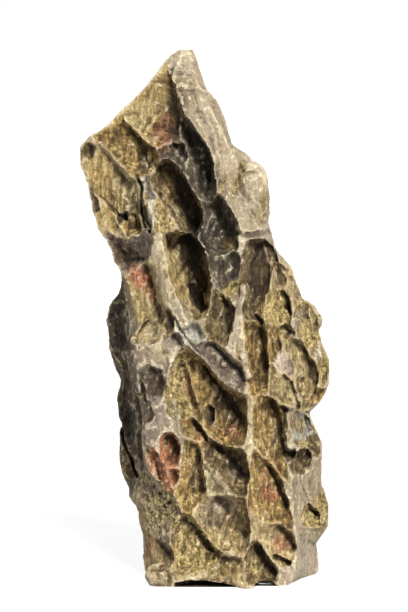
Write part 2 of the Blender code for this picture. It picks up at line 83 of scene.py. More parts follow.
# Lines that run up the main mass, each point as drawn height, x, depth (front is negative).
LEFT_EDGE = (
    (-10, -48, -22), (0, -53, -23), (14, -58, -20), (32, -61, -18), (50, -61, -18), (75, -65, -20),
    (92, -72, -22), (104, -69, -26), (120, -61, -30), (148, -61, -33), (180, -62, -34), (205, -67, -35),
    (238, -73, -34), (258, -74, -31), (270, -75, -28), (300, -80, -24), (318, -83, -20), (326, -90, -18),
    (337, -92, -20), (349, -97, -22), (359, -107, -20), (376, -112, -18), (400, -115, -16), (418, -121, -13),
    (434, -128, -8), (443, -124, -10), (453, -113, -12), (459, -101, -13), (470, -90, -13), (491, -69, -11),
    (504, -57, -9), (520, -45, -6), (531, -36, -4), (538, -24, -1),
)
FRONT_LEFT_CREST = (
    (-10, -40, -66), (0, -44, -70), (25, -30, -75), (60, -28, -74), (90, -30, -73), (118, -30, -74),
    (150, -26, -76), (200, -36, -73), (240, -34, -70), (288, -34, -67), (318, -42, -64), (352, -48, -58),
    (390, -56, -50), (420, -52, -44), (445, -44, -38), (478, -30, -27), (510, -32, -14), (538, -23, -4),
)
MIDDLE_CREST = (
    (-10, 40, -80), (0, 44, -85), (45, 45, -87), (90, 43, -88), (126, 40, -88), (150, 47, -87),
    (190, 48, -85), (228, 44, -83), (262, 38, -81), (300, 40, -79), (340, 44, -74), (363, 36, -68),
    (400, 14, -60), (430, 2, -52), (460, -8, -42), (480, -24, -32), (512, -32, -18), (538, -20, -4),
)
RIGHT_CREST = (
    (-10, 78, -58), (0, 82, -62), (20, 92, -60), (50, 92, -63), (80, 89, -66), (110, 87, -68),
    (138, 89, -69), (170, 83, -72), (200, 89, -68), (228, 88, -61), (262, 85, -55), (300, 74, -54),
    (330, 64, -58), (349, 58, -54), (376, 54, -42), (400, 46, -40), (430, 30, -36), (455, 18, -30),
    (480, 6, -24), (505, -6, -14), (538, -16, -3),
)
RIGHT_EDGE = (
    (-10, 82, -14), (0, 88, -12), (9, 108, -8), (16, 114, -4), (30, 114, -4), (44, 112, -6), (51, 116, -8),
    (58, 122, -10), (66, 127, -10), (84, 124, -10), (102, 118, -10), (116, 117, -12), (135, 119, -12),
    (152, 115, -12), (168, 109, -12), (175, 106, -12), (181, 113, -13), (189, 119, -14), (195, 123, -14),
    (202, 124, -14), (206, 128, -14), (218, 128, -14), (231, 125, -12), (242, 118, -10), (258, 115, -8),
    (273, 115, -8), (283, 110, -8), (286, 102, -8), (299, 95, -8), (308, 91, -8), (322, 87, -8),
    (336, 74, -8), (345, 71, -8), (357, 67, -8), (366, 63, -6), (373, 66, -6), (386, 66, -6), (398, 61, -6),
    (406, 58, -6), (418, 51, -6), (433, 46, -6), (438, 38, -6), (444, 29, -6), (466, 22, -5), (487, 15, -4),
    (491, 12, -4), (498, 4, -3), (531, -8, -1), (538, -12, 0),
)
BACK_RIGHT = (
    (-10, 66, 40), (0, 74, 44), (40, 92, 52), (110, 96, 50), (160, 90, 54), (215, 98, 50), (270, 86, 46),
    (330, 60, 48), (390, 46, 40), (430, 30, 36), (470, 10, 24), (505, -6, 14), (538, -15, 4),
)
BACK_MIDDLE = (
    (-10, 8, 74), (0, 10, 78), (60, 18, 86), (130, 14, 80), (190, 6, 86), (250, 10, 80), (310, -4, 84),
    (370, -20, 72), (420, -30, 60), (465, -36, 40), (505, -34, 22), (538, -21, 5),
)
BACK_LEFT = (
    (-10, -36, 46), (0, -40, 50), (60, -46, 58), (140, -50, 52), (220, -52, 56), (300, -56, 50),
    (345, -72, 48), (400, -88, 38), (434, -98, 26), (455, -88, 24), (480, -66, 18), (510, -46, 10),
    (538, -25, 3),
)
MAIN_LINES = (
    LEFT_EDGE, FRONT_LEFT_CREST, MIDDLE_CREST, RIGHT_CREST, RIGHT_EDGE, BACK_RIGHT, BACK_MIDDLE, BACK_LEFT,
)
LEVEL_SPACING = 4

# The lobe that bulges from the back left, in the same terms.
LOBE_LINES = (
    (
        (72, -58, 24), (84, -69, 28), (94, -76, 30), (98, -74, 30), (108, -79, 32), (118, -83, 34),
        (135, -84, 34), (155, -85, 34), (164, -83, 34), (172, -86, 34), (190, -88, 34), (196, -87, 34),
        (207, -84, 34), (222, -89, 36), (238, -95, 36), (252, -95, 36), (267, -99, 36), (279, -96, 34),
        (285, -93, 32), (291, -87, 30), (300, -84, 26), (315, -83, 20), (330, -82, 12), (344, -76, 8),
    ),
    (
        (72, -46, 2), (94, -60, 4), (118, -64, 8), (150, -68, 12), (190, -70, 14), (238, -78, 14),
        (267, -80, 14), (300, -74, 8), (330, -70, 0), (344, -60, -8),
    ),
    ((72, -6, 6), (344, -20, 0)),
    ((72, -6, 54), (344, -20, 44)),
    (
        (72, -44, 54), (94, -62, 64), (118, -70, 70), (150, -70, 74), (207, -70, 76), (245, -80, 74),
        (267, -80, 70), (291, -74, 60), (315, -70, 52), (344, -60, 42),
    ),
)

# Swellings on the front: middle as x, depth, drawn height, then half sizes in the same order.
SWELLINGS = {
    "knee": ((-50, -50, 226), (25, 24, 44)),
    "knob": ((-38, -60, 150), (24, 20, 46)),
    "right top mass": ((48, -34, 392), (18, 16, 34)),
    "edge knob": ((113, -4, 267), (6, 9, 8)),
    "yellow bump": ((26, -62, 343), (8, 10, 8)),
    "left foot": ((-44, -62, 12), (14, 14, 12)),
}

# The pits of the front: rim, line along the deepest part, depth in millimetres, wall steepness, colour.
FRONT_PITS = {
    "peak hollow": (
        ((-37, 530), (-35, 513), (-29, 497), (-24, 481), (-22, 471), (-23, 460), (-25, 447), (-35, 444),
         (-43, 442), (-47, 438), (-53, 442), (-60, 447), (-68, 452), (-75, 460), (-79, 471), (-82, 479),
         (-70, 491), (-59, 502), (-44, 520)),
        ((-33, 502), (-31, 456)), 12, 1.7, "olive",
    ),
    "band under the peak hollow": (
        ((-83, 478), (-92, 468), (-100, 457), (-103, 451), (-96, 440), (-87, 430), (-78, 422), (-72, 418),
         (-65, 414), (-54, 414), (-48, 418), (-45, 425), (-46, 434), (-52, 441), (-60, 446), (-68, 452),
         (-74, 460), (-79, 470)),
        ((-72, 450), (-54, 426)), 11, 2.2, "ochre",
    ),
    "pocket in the band": (
        ((-70, 446), (-61, 445), (-54, 438), (-52, 426), (-54, 415), (-63, 415), (-69, 424), (-73, 436)),
        ((-60, 440), (-55, 420)), 13, 2.0, "brown",
    ),
    "left facet": (
        ((-125, 425), (-116, 431), (-106, 436), (-97, 437), (-91, 430), (-84, 421), (-74, 412), (-67, 407),
         (-64, 398), (-63, 386), (-62, 374), (-61, 362), (-66, 356), (-76, 352), (-86, 356), (-96, 360),
         (-106, 362), (-110, 373), (-112, 388), (-114, 401), (-119, 416)),
        ((-82, 412), (-68, 376)), 6, 1.7, "olive",
    ),
    "dimple over the facet": (
        ((-120, 442), (-113, 444), (-109, 438), (-113, 431), (-119, 432)),
        ((-114, 440), (-113, 434)), 3, 1.5, "brown",
    ),
    "left edge sliver": (
        ((-115, 402), (-111, 399), (-106, 382), (-109, 381), (-113, 391)),
        ((-111, 396), (-108, 385)), 9, 2.5, "umber_shade",
    ),
    "wedge in the facet": (
        ((-83, 374), (-77, 376), (-74, 370), (-80, 365)),
        ((-78, 373), (-77, 369)), 12, 2.0, "umber_shade",
    ),
    "corner of the facet": (
        ((-76, 374), (-67, 376), (-64, 366), (-65, 357), (-73, 355), (-77, 364)),
        ((-68, 372), (-67, 360)), 10, 1.8, "ochre",
    ),
    "overhang": (
        ((-106, 359), (-96, 358), (-85, 354), (-76, 350), (-66, 354), (-58, 356), (-54, 348), (-52, 338),
         (-56, 328), (-66, 322), (-78, 322), (-86, 323), (-92, 330), (-94, 340), (-98, 351)),
        ((-88, 330), (-60, 328)), 10, 1.2, "mauve",
    ),
    "panel under the band": (
        ((-64, 412), (-54, 413), (-53, 408), (-55, 398), (-51, 393), (-56, 392), (-61, 402)),
        ((-57, 408), (-56, 398)), 5, 2.0, "slate",
    ),
    "rough triangle": (
        ((-47, 391), (-41, 388), (-34, 379), (-28, 368), (-23, 358), (-34, 355), (-45, 355)),
        ((-40, 376), (-36, 362)), 3, 1.2, "straw",
    ),
    "long slot": (
        ((-47, 410), (-45, 419), (-41, 424), (-36, 425), (-29, 422), (-22, 413), (-17, 404), (-11, 394),
         (-5, 384), (-3, 374), (-4, 363), (-8, 356), (-14, 359), (-20, 366), (-26, 376), (-33, 387),
         (-41, 397), (-46, 403)),
        ((-30, 416), (-8, 370)), 30, 2.4, "brown",
    ),
    "hollow over the slot": (
        ((-43, 440), (-36, 444), (-26, 446), (-17, 447), (-16, 438), (-16, 425), (-17, 416), (-20, 414),
         (-24, 419), (-29, 424), (-36, 427), (-42, 427), (-44, 432)),
        ((-30, 441), (-19, 430)), 10, 2.0, "shade",
    ),
    "groove beside the slab": (
        ((-20, 470), (-13, 466), (-8, 457), (-3, 449), (2, 441), (6, 429), (8, 416), (8, 407), (10, 399),
         (13, 392), (6, 386), (-1, 390), (-7, 398), (-12, 408), (-14, 422), (-14, 438), (-16, 449),
         (-22, 452), (-23, 464)),
        ((-7, 452), (5, 410)), 18, 2.4, "shade",
    ),
    "rough hollow": (
        ((-1, 390), (7, 386), (13, 392), (19, 388), (25, 379), (30, 370), (33, 362), (34, 354), (32, 343),
         (26, 336), (18, 336), (10, 338), (3, 344), (-1, 352), (-3, 363), (-3, 375)),
        ((10, 380), (25, 346)), 12, 1.8, "shade",
    ),
    "dark oval": (
        ((9, 332), (18, 337), (29, 336), (35, 330), (37, 320), (36, 309), (32, 303), (24, 296), (18, 294),
         (13, 303), (8, 314), (4, 324)),
        ((27, 330), (30, 312)), 6, 1.8, "shade",
    ),
    "main cavity": (
        ((-39, 351), (-26, 354), (-13, 355), (-9, 348), (-3, 340), (0, 328), (3, 315), (6, 303), (5, 288),
         (2, 275), (-5, 271), (-12, 273), (-18, 283), (-23, 297), (-30, 312), (-35, 327), (-39, 340)),
        ((-16, 346), (0, 302)), 28, 2.2, "olive",
    ),
    "black hole": (
        ((-13, 301), (-9, 303), (-4, 299), (1, 290), (2, 284), (-2, 281), (-7, 286), (-11, 294)),
        ((-8, 297), (-2, 288)), 42, 3.0, "umber_shade",
    ),
    "notch beside the cavity": (
        ((-48, 353), (-41, 351), (-38, 341), (-41, 338), (-46, 346)),
        ((-43, 350), (-41, 342)), 8, 2.0, "umber_shade",
    ),
    "smooth oval": (
        ((-22, 266), (-18, 270), (-9, 269), (-3, 262), (0, 251), (-7, 247), (-14, 250), (-20, 257)),
        ((-14, 264), (-6, 256)), 4, 1.6, "slate",
    ),
    "brown wall": (
        ((5, 301), (11, 304), (18, 294), (25, 283), (28, 275), (27, 263), (25, 251), (22, 245), (15, 245),
         (7, 248), (3, 258), (4, 274), (6, 288)),
        ((20, 290), (25, 256)), 7, 1.9, "brown",
    ),
    "dark trough": (
        ((-8, 246), (1, 246), (12, 244), (19, 238), (28, 230), (37, 221), (42, 214), (42, 206), (39, 200),
         (32, 201), (23, 206), (12, 215), (3, 226), (-5, 236)),
        ((8, 242), (40, 212)), 7, 1.9, "mauve",
    ),
    "lozenge pit": (
        ((-18, 238), (-13, 237), (-5, 230), (3, 221), (12, 211), (23, 202), (33, 197), (39, 191), (41, 180),
         (42, 163), (39, 148), (32, 143), (22, 144), (11, 151), (4, 163), (-1, 173), (-8, 188), (-14, 206),
         (-17, 223)),
        ((2, 220), (34, 172)), 18, 1.9, "ochre",
    ),
    "lens in the lozenge": (
        ((4, 182), (7, 184), (10, 180), (11, 172), (8, 163), (5, 166), (3, 174)),
        ((7, 180), (7, 170)), 16, 1.8, "olive",
    ),
    "strip beside the lozenge": (
        ((-25, 238), (-20, 239), (-17, 228), (-15, 213), (-12, 198), (-6, 183), (0, 171), (0, 166),
         (-8, 169), (-18, 171), (-27, 170), (-31, 183), (-32, 198), (-27, 218)),
        ((-22, 230), (-12, 184)), 9, 1.8, "straw",
    ),
    "upper right pit": (
        ((48, 342), (52, 345), (60, 346), (67, 343), (72, 336), (72, 326), (68, 316), (64, 306), (61, 295),
         (59, 288), (60, 278), (59, 268), (55, 266), (48, 270), (42, 273), (41, 285), (40, 304), (44, 321)),
        ((60, 340), (52, 300)), 18, 2.0, "brown",
    ),
    "pit right of the middle ridge": (
        ((43, 266), (52, 268), (59, 264), (61, 253), (62, 240), (63, 226), (65, 213), (64, 200), (61, 192),
         (55, 196), (48, 205), (43, 218), (42, 233), (41, 250)),
        ((56, 258), (60, 222)), 10, 1.9, "ochre",
    ),
    "right rough facet": (
        ((62, 295), (68, 300), (76, 299), (84, 292), (87, 284), (86, 275), (87, 266), (83, 262), (75, 261),
         (68, 266), (63, 278)),
        ((78, 294), (85, 280)), 8, 1.8, "straw",
    ),
    "hollow under the rough facet": (
        ((72, 260), (78, 262), (85, 262), (89, 256), (89, 250), (83, 248), (75, 249), (73, 254)),
        ((80, 259), (86, 256)), 7, 1.8, "ochre",
    ),
    "upper flank facet": (
        ((69, 330), (79, 322), (82, 310), (78, 298), (70, 300), (66, 312)),
        ((77, 322), (76, 306)), 7, 1.8, "tan",
    ),
    "right flank facet": (
        ((85, 320), (92, 312), (98, 298), (102, 286), (94, 284), (87, 292), (83, 306)),
        ((92, 310), (97, 294)), 6, 1.8, "tan",
    ),
    "upper strip of the flank": (
        ((66, 262), (72, 264), (76, 254), (77, 240), (72, 230), (66, 236), (64, 250)),
        ((73, 258), (74, 240)), 5, 1.9, "ochre",
    ),
    "edge facet": (
        ((98, 284), (105, 282), (112, 268), (114, 252), (108, 246), (101, 252), (96, 266)),
        ((106, 276), (111, 256)), 6, 1.9, "straw",
    ),
    "lower edge facet": (
        ((112, 244), (119, 240), (123, 226), (122, 210), (117, 206), (114, 222)),
        ((118, 236), (121, 216)), 4, 1.9, "tan",
    ),
    "flake of the lower flank": (
        ((66, 186), (74, 184), (84, 178), (88, 168), (84, 160), (77, 164), (70, 174)),
        ((80, 178), (84, 168)), 4, 1.9, "straw",
    ),
    "blade": (
        ((64, 236), (71, 231), (78, 222), (86, 208), (89, 194), (83, 183), (74, 185), (64, 191), (64, 208),
         (65, 222)),
        ((79, 222), (84, 198)), 6, 1.8, "clay",
    ),
    "pink blade": (
        ((79, 240), (86, 238), (89, 228), (91, 218), (88, 208), (83, 216), (78, 226)),
        ((86, 236), (89, 220)), 5, 1.8, "pink",
    ),
    "right oval pit": (
        ((85, 247), (94, 248), (99, 243), (105, 231), (112, 221), (115, 212), (111, 200), (109, 187),
         (104, 179), (98, 182), (94, 193), (90, 205), (92, 216), (87, 230), (84, 238)),
        ((101, 238), (111, 206)), 10, 2.0, "clay",
    ),
    "rim pit under the oval": (
        ((105, 196), (114, 200), (121, 197), (118, 189), (110, 184), (104, 186)),
        ((112, 196), (114, 190)), 5, 1.6, "ochre",
    ),
    "pit under the blade": (
        ((55, 190), (62, 191), (70, 187), (75, 177), (79, 164), (80, 148), (81, 136), (83, 123), (85, 109),
         (80, 114), (72, 122), (64, 133), (58, 143), (55, 158), (54, 176)),
        ((68, 186), (80, 136)), 10, 2.0, "ochre",
    ),
    "pit behind the grey ridge": (
        ((90, 176), (98, 176), (105, 168), (108, 156), (108, 144), (100, 148), (93, 154), (89, 164)),
        ((100, 172), (105, 157)), 9, 1.9, "slate",
    ),
    "right edge pit": (
        ((104, 158), (109, 159), (114, 151), (114, 139), (110, 136), (106, 144)),
        ((109, 154), (111, 144)), 6, 1.8, "brown",
    ),
    "small dark slot": (
        ((81, 140), (86, 141), (92, 136), (91, 131), (85, 131), (81, 135)),
        ((84, 138), (89, 134)), 10, 2.4, "umber_shade",
    ),
    "brown corner pit": (
        ((92, 117), (92, 129), (97, 136), (108, 136), (104, 126), (99, 120)),
        ((97, 130), (103, 132)), 9, 2.0, "brown",
    ),
    "yellow edge hollow": (
        ((104, 79), (110, 77), (115, 72), (114, 66), (108, 66), (104, 72)),
        ((109, 75), (112, 70)), 4, 1.9, "straw",
    ),
    "rust pit": (
        ((53, 135), (60, 130), (72, 117), (77, 103), (83, 85), (88, 72), (90, 57), (84, 60), (72, 66),
         (61, 72), (54, 81), (48, 91), (47, 103), (50, 115), (51, 127)),
        ((64, 122), (82, 84)), 8, 1.8, "ochre",
    ),
    "tan facet": (
        ((58, 64), (68, 64), (80, 60), (88, 52), (91, 42), (89, 32), (84, 27), (75, 32), (68, 38), (61, 46),
         (56, 55)),
        ((76, 57), (88, 42)), 7, 1.8, "tan",
    ),
    "dark foot pit": (
        ((48, 42), (53, 45), (59, 37), (66, 28), (72, 18), (72, 12), (64, 8), (54, 8), (47, 11), (46, 23)),
        ((54, 38), (66, 20)), 8, 1.8, "brown",
    ),
    "centre pit": (
        ((2, 150), (10, 146), (18, 142), (28, 142), (36, 138), (42, 128), (44, 113), (43, 100), (40, 96),
         (34, 99), (24, 106), (16, 113), (8, 121), (2, 131), (-1, 141)),
        ((14, 140), (39, 114)), 12, 1.9, "brown",
    ),
    "olive facet": (
        ((-4, 131), (1, 129), (8, 118), (16, 110), (22, 106), (20, 97), (15, 91), (8, 93), (1, 100),
         (-3, 115)),
        ((1, 122), (14, 100)), 5, 1.5, "moss",
    ),
    "bright hollow": (
        ((-24, 169), (-18, 170), (-10, 168), (-4, 161), (1, 150), (4, 136), (-2, 139), (-8, 147),
         (-16, 152), (-22, 158)),
        ((-10, 167), (2, 148)), 9, 2.0, "orange",
    ),
    "ochre pit": (
        ((-21, 150), (-14, 150), (-6, 145), (-3, 133), (-2, 118), (1, 103), (0, 91), (-4, 81), (-12, 75),
         (-20, 77), (-24, 88), (-23, 101), (-19, 113), (-15, 126), (-17, 138)),
        ((-8, 140), (-3, 100)), 9, 1.9, "ochre",
    ),
    "front facet": (
        ((-1, 93), (9, 91), (22, 91), (36, 91), (43, 88), (44, 73), (45, 58), (44, 43), (39, 33), (29, 35),
         (18, 36), (8, 43), (1, 53), (-6, 65), (-14, 75), (-6, 81)),
        ((16, 84), (40, 54)), 9, 1.8, "clay",
    ),
    "foot hollow": (
        ((-26, 64), (-20, 72), (-14, 72), (-6, 61), (2, 50), (9, 42), (17, 36), (22, 32), (11, 23),
         (-4, 18), (-18, 16), (-27, 20), (-28, 38), (-27, 52)),
        ((-14, 66), (8, 40)), 11, 1.7, "straw",
    ),
    "foot arch": (
        ((11, 32), (36, 31), (43, 13), (34, -8), (11, -8), (-9, 4)),
        ((16, 29), (34, 27)), 6, 1.6, "tan",
    ),
    "knob pit": (
        ((-38, 148), (-36, 152), (-31, 152), (-27, 147), (-25, 136), (-27, 127), (-32, 125), (-36, 131)),
        ((-33, 148), (-29, 134)), 8, 2.6, "rust",
    ),
    "red strip": (
        ((-57, 142), (-52, 139), (-44, 128), (-36, 120), (-33, 108), (-33, 96), (-34, 88), (-41, 92),
         (-48, 104), (-54, 120)),
        ((-48, 132), (-36, 104)), 2, 1.6, "rust",
    ),
    "red notch": (
        ((-34, 118), (-27, 118), (-23, 116), (-26, 108), (-30, 101), (-33, 108)),
        ((-29, 115), (-29, 108)), 5, 1.8, "rust",
    ),
    "green wedge": (
        ((-60, 145), (-54, 136), (-49, 122), (-48, 113), (-55, 110), (-60, 122), (-62, 135)),
        ((-56, 138), (-52, 120)), 4, 1.5, "moss",
    ),
    "dark red panel": (
        ((-74, 141), (-66, 143), (-61, 138), (-61, 126), (-63, 117), (-68, 118), (-72, 130)),
        ((-66, 139), (-64, 124)), 4, 1.8, "rust",
    ),
    "rough knee foot": (
        ((-71, 106), (-59, 112), (-46, 108), (-34, 91), (-27, 83), (-25, 73), (-27, 64), (-39, 64),
         (-52, 62), (-61, 68), (-68, 80), (-73, 94)),
        ((-52, 102), (-32, 80)), 4, 1.6, "lichen",
    ),
    "corner facet": (
        ((-60, 60), (-54, 60), (-51, 53), (-44, 47), (-36, 41), (-32, 32), (-38, 25), (-48, 22), (-56, 22),
         (-60, 36), (-61, 50)),
        ((-46, 48), (-36, 34)), 5, 1.6, "tan",
    ),
    "knee hollow": (
        ((-59, 216), (-52, 219), (-44, 217), (-41, 208), (-42, 198), (-50, 195), (-57, 203)),
        ((-48, 214), (-44, 202)), 3, 1.8, "shade",
    ),
    "pocket under the knee": (
        ((-75, 186), (-68, 192), (-58, 191), (-54, 182), (-54, 170), (-61, 164), (-70, 168), (-75, 176)),
        ((-66, 187), (-59, 174)), 8, 1.8, "umber_shade",
    ),
    "mauve pit": (
        ((-35, 251), (-29, 254), (-23, 250), (-22, 242), (-27, 237), (-34, 239)),
        ((-30, 250), (-25, 244)), 5, 1.8, "mauve",
    ),
    "lens pit": (
        ((-38, 279), (-35, 277), (-32, 268), (-33, 258), (-36, 255), (-38, 266)),
        ((-35, 274), (-34, 262)), 5, 2.0, "brown",
    ),
    "olive hollow": (
        ((-78, 326), (-69, 330), (-58, 329), (-54, 323), (-52, 310), (-48, 298), (-44, 288), (-40, 278),
         (-38, 266), (-44, 253), (-56, 250), (-66, 254), (-72, 266), (-76, 282), (-79, 298), (-80, 313)),
        ((-58, 320), (-46, 274)), 8, 1.6, "olive",
    ),
    "left edge hollow": (
        ((-64, 212), (-60, 200), (-58, 180), (-60, 165), (-66, 160), (-68, 176), (-69, 196)),
        ((-63, 200), (-62, 176)), 5, 1.7, "umber_shade",
    ),
}

# The pits of the lobe, in the same terms.
LOBE_PITS = {
    "upper lobe hollow": (
        ((-95, 276), (-91, 282), (-83, 284), (-77, 276), (-76, 258), (-79, 243), (-86, 238), (-92, 246),
         (-95, 260)),
        ((-84, 276), (-83, 252)), 7, 1.8, "shade",
    ),
    "middle lobe hollow": (
        ((-85, 178), (-78, 186), (-70, 178), (-70, 158), (-73, 147), (-80, 148), (-83, 163)),
        ((-76, 176), (-76, 156)), 6, 1.8, "shade",
    ),
    "lower lobe hollow": (
        ((-83, 136), (-77, 140), (-71, 128), (-67, 116), (-69, 106), (-75, 104), (-81, 118)),
        ((-75, 134), (-73, 112)), 6, 1.8, "brown",
    ),
}

# Cracks: path, half width in steps, depth in millimetres.
CRACKS = {
    "crevice beside the grey bar": (
        ((-67, 412), (-63, 402), (-62, 390), (-62, 379), (-60, 370), (-58, 359)), 2.4, 8,
    ),
    "second crevice": (((-59, 381), (-57, 372), (-54, 363), (-54, 356)), 2.4, 9),
    "hole at the grey bar": (((-45, 393), (-44, 390)), 2.6, 6),
    "crevice beside the slot": (((-44, 388), (-35, 382), (-29, 371), (-23, 359)), 1.5, 4),
    "crack under the bar": (((-30, 270), (-21, 254), (-14, 244), (-5, 234)), 1.3, 3),
    "slab groove": (((-12, 502), (-7, 479), (1, 466), (6, 455), (10, 438)), 5.0, 1.0),
    "slab crease": (((6, 467), (12, 452), (15, 438), (14, 420), (18, 404)), 4.0, 0.7),
    "crack under the pink knob": (((35, 420), (41, 415), (50, 416)), 1.8, 1.4),
    "ledge groove": (((34, 355), (46, 352), (64, 356)), 4.0, 3.5),
    "notch in the upper right pit": (((52, 272), (58, 266)), 2.6, 5),
    "notch in the rough facet": (((82, 281), (86, 276)), 2.4, 5),
    "first flank groove": (((65, 253), (69, 240), (73, 228)), 1.6, 2.4),
    "second flank groove": (((73, 249), (77, 236)), 1.4, 2),
    "slit beside the oval pit": (((87, 206), (90, 194), (94, 180)), 2.0, 4),
    "long crease": (((95, 112), (100, 98), (105, 86)), 1.4, 1.6),
    "crease over the edge hollow": (((104, 83), (113, 74)), 2.2, 5),
    "foot notch": (((72, 31), (79, 28), (85, 24)), 2.8, 6),
    "lobe slit": (((-85, 163), (-81, 152), (-77, 140), (-68, 118), (-65, 110)), 2.2, 6),
    "wrinkle of the facet": (((-104, 392), (-92, 378), (-84, 372)), 1.8, 1.6),
}

# Thin crests that stand up: path, half width in steps, height in millimetres.
CRESTS = {
    "pale ridge of the facet": (((-112, 452), (-97, 438), (-83, 422), (-71, 411), (-66, 410)), 3.0, 1.6),
    "fold of the facet": (((-89, 371), (-84, 362), (-77, 351)), 2.4, 1.8),
    "right fold of the facet": (((-66, 388), (-63, 372), (-60, 358)), 2.2, 1.5),
    "bar between the crevices": (((-56, 391), (-52, 372), (-50, 357)), 3.4, 2.0),
    "yellow line of the slab": (((6, 464), (12, 452), (18, 403), (24, 389)), 2.0, 0.8),
    "yellow line of the right mass": (((33, 402), (42, 385), (52, 364)), 2.2, 0.9),
    "second line of the right mass": (((37, 416), (44, 398), (56, 380)), 2.2, 0.8),
    "ridge of the upper flank": (((68, 330), (67, 312), (65, 298)), 2.2, 1.2),
    "ridge between the facets": (((84, 322), (84, 306), (88, 290)), 2.2, 1.2),
    "inner ridge of the lozenge": (((-22, 236), (-15, 218), (-11, 200), (-1, 172), (2, 165)), 1.8, 2.2),
    "ridge under the trough": (((-16, 243), (1, 227), (10, 214), (23, 203), (36, 199)), 1.8, 1.5),
    "crumbly white ridge": (((89, 153), (99, 145), (108, 136)), 2.6, 2.2),
    "orange line": (((81, 183), (85, 166), (89, 148)), 2.0, 1.6),
    "mauve ridge": (((54, 148), (64, 132), (76, 113), (83, 104)), 3.2, 2.2),
    "thin white line": (((60, 114), (62, 98), (64, 81)), 1.4, 1.2),
    "white ridge of the foot": (((48, 48), (60, 39), (71, 26), (79, 16)), 2.2, 1.8),
    "thin rim of the centre": (((46, 128), (44, 108), (43, 83), (46, 58), (47, 43)), 2.0, 2.2),
    "orange ridge of the facet": (((22, 70), (28, 49), (37, 28)), 1.6, 1.3),
    "rim of the foot hollow": (((-16, 75), (-5, 62), (5, 46), (17, 37), (31, 35)), 2.0, 1.4),
    "lobe rim": (((-89, 232), (-82, 223), (-80, 208), (-83, 190)), 2.4, 1.8),
    "yellow line of the knee": (((-61, 248), (-49, 236)), 1.8, 0.9),
    "knob of the middle ridge": (((50, 189), (52, 183)), 5.0, 2.0),
    "ridge of the flank": (((60, 300), (63, 280), (66, 262), (64, 240), (66, 215), (64, 192)), 2.6, 2.6),
    "left rim of the oval": (((88, 290), (90, 262), (84, 246), (90, 222), (92, 202), (99, 180)), 2.6, 2.6),
    "right rim of the oval": (((104, 288), (107, 264), (114, 240), (118, 214), (112, 188)), 3.0, 2.6),
    "upper ridge of the flank": (((70, 345), (76, 325), (84, 305), (90, 290)), 2.6, 2.2),
    "ledge under the oval": (((64, 192), (76, 184), (88, 180), (104, 178)), 2.4, 2.4),
    "right edge of the grey bar": (((-40, 352), (-34, 326), (-27, 300), (-18, 280)), 2.0, 1.6),
}

# Bars of smooth skin that the pits leave standing: path, half width in steps.
BARS = {
    "grey bar": (((-47, 352), (-43, 330), (-38, 305), (-30, 284), (-21, 266)), 8),
    "middle bar": (((39, 300), (36, 280), (35, 258), (39, 235), (44, 212)), 5),
    "lower middle bar": (((46, 190), (46, 150), (45, 128)), 4),
    "bar of the slate ridge": (((85, 172), (87, 154), (86, 142)), 5),
    "bar over the left facet": (((-104, 444), (-90, 429), (-76, 414), (-66, 410)), 3),
}

# Small lumps: middle, radius in steps, height in millimetres.
LUMPS = {
    "pink knob": ((42, 425), 12, 1.2),
    "first shell": ((-1, 416), 2.2, 1.2),
    "second shell": ((0, 425), 2.0, 1.0),
    "third shell": ((-2, 431), 1.8, 1.0),
    "yellow spot in the trough": ((20, 223), 3.0, 2.4),
    "knob of the ridge": ((52, 187), 5, 1.6),
    "oval lump": ((97, 214), 5, 3.0),
    "second oval lump": ((100, 202), 6, 3.2),
    "third oval lump": ((105, 208), 3.4, 2.0),
    "fourth oval lump": ((98, 194), 3.4, 2.0),
    "first knee hole": ((-50, 101), 2.6, -2.4),
    "second knee hole": ((-43, 95), 2.4, -2.4),
    "third knee hole": ((-39, 82), 3.0, -2.2),
    "fourth knee hole": ((-34, 86), 2.4, -2.0),
    "dot of the peak": ((-32, 519), 2.0, -2.0),
    "rust dot": ((80, 121), 3.0, 1.0),
    "ochre dot": ((-10, 98), 3.0, -1.6),
    "facet dot": ((5, 66), 3.0, -1.2),
}

# Ground colour of broad zones, before the pits: middle, half width, half height, lean, strength, colour.
ZONES = (
    ((-85, 420), 50, 70, 0.3, 0.85, "clay"),
    ((-56, 300), 34, 60, 0.0, 0.7, "clay"),
    ((96, 250), 40, 84, 0.0, 0.85, "clay"),
    ((110, 110), 24, 60, 0.0, 0.4, "clay"),
    ((0, 40), 80, 44, 0.0, 0.75, "clay"),
    ((20, 150), 60, 90, 0.0, 0.5, "clay"),
    ((10, 300), 40, 60, 0.0, 0.6, "mauve"),
    ((-2, 400), 24, 50, -0.3, 0.8, "shade"),
    ((-50, 60), 34, 60, 0.0, 0.6, "clay"),
    ((-56, 206), 26, 56, 0.0, 0.75, "mauve"),
    # The lobe is painted dark as painted shade, for it lies back in the shadow of the main mass.
    ((-84, 236), 19, 96, 0.0, 0.95, "lobe"),
    ((-74, 150), 15, 60, 0.0, 0.95, "lobe"),
    ((-40, 318), 7, 44, -0.2, 0.8, "taupe"),
    ((24, 222), 24, 20, 0.0, 0.7, "mauve"),
    ((-44, 150), 20, 44, 0.0, 0.75, "mauve"),
    ((102, 108), 18, 44, 0.0, 0.35, "mauve"),
    ((-50, 40), 16, 50, 0.0, 0.4, "tan"),
    ((-88, 336), 22, 20, 0.0, 0.8, "mauve"),
)
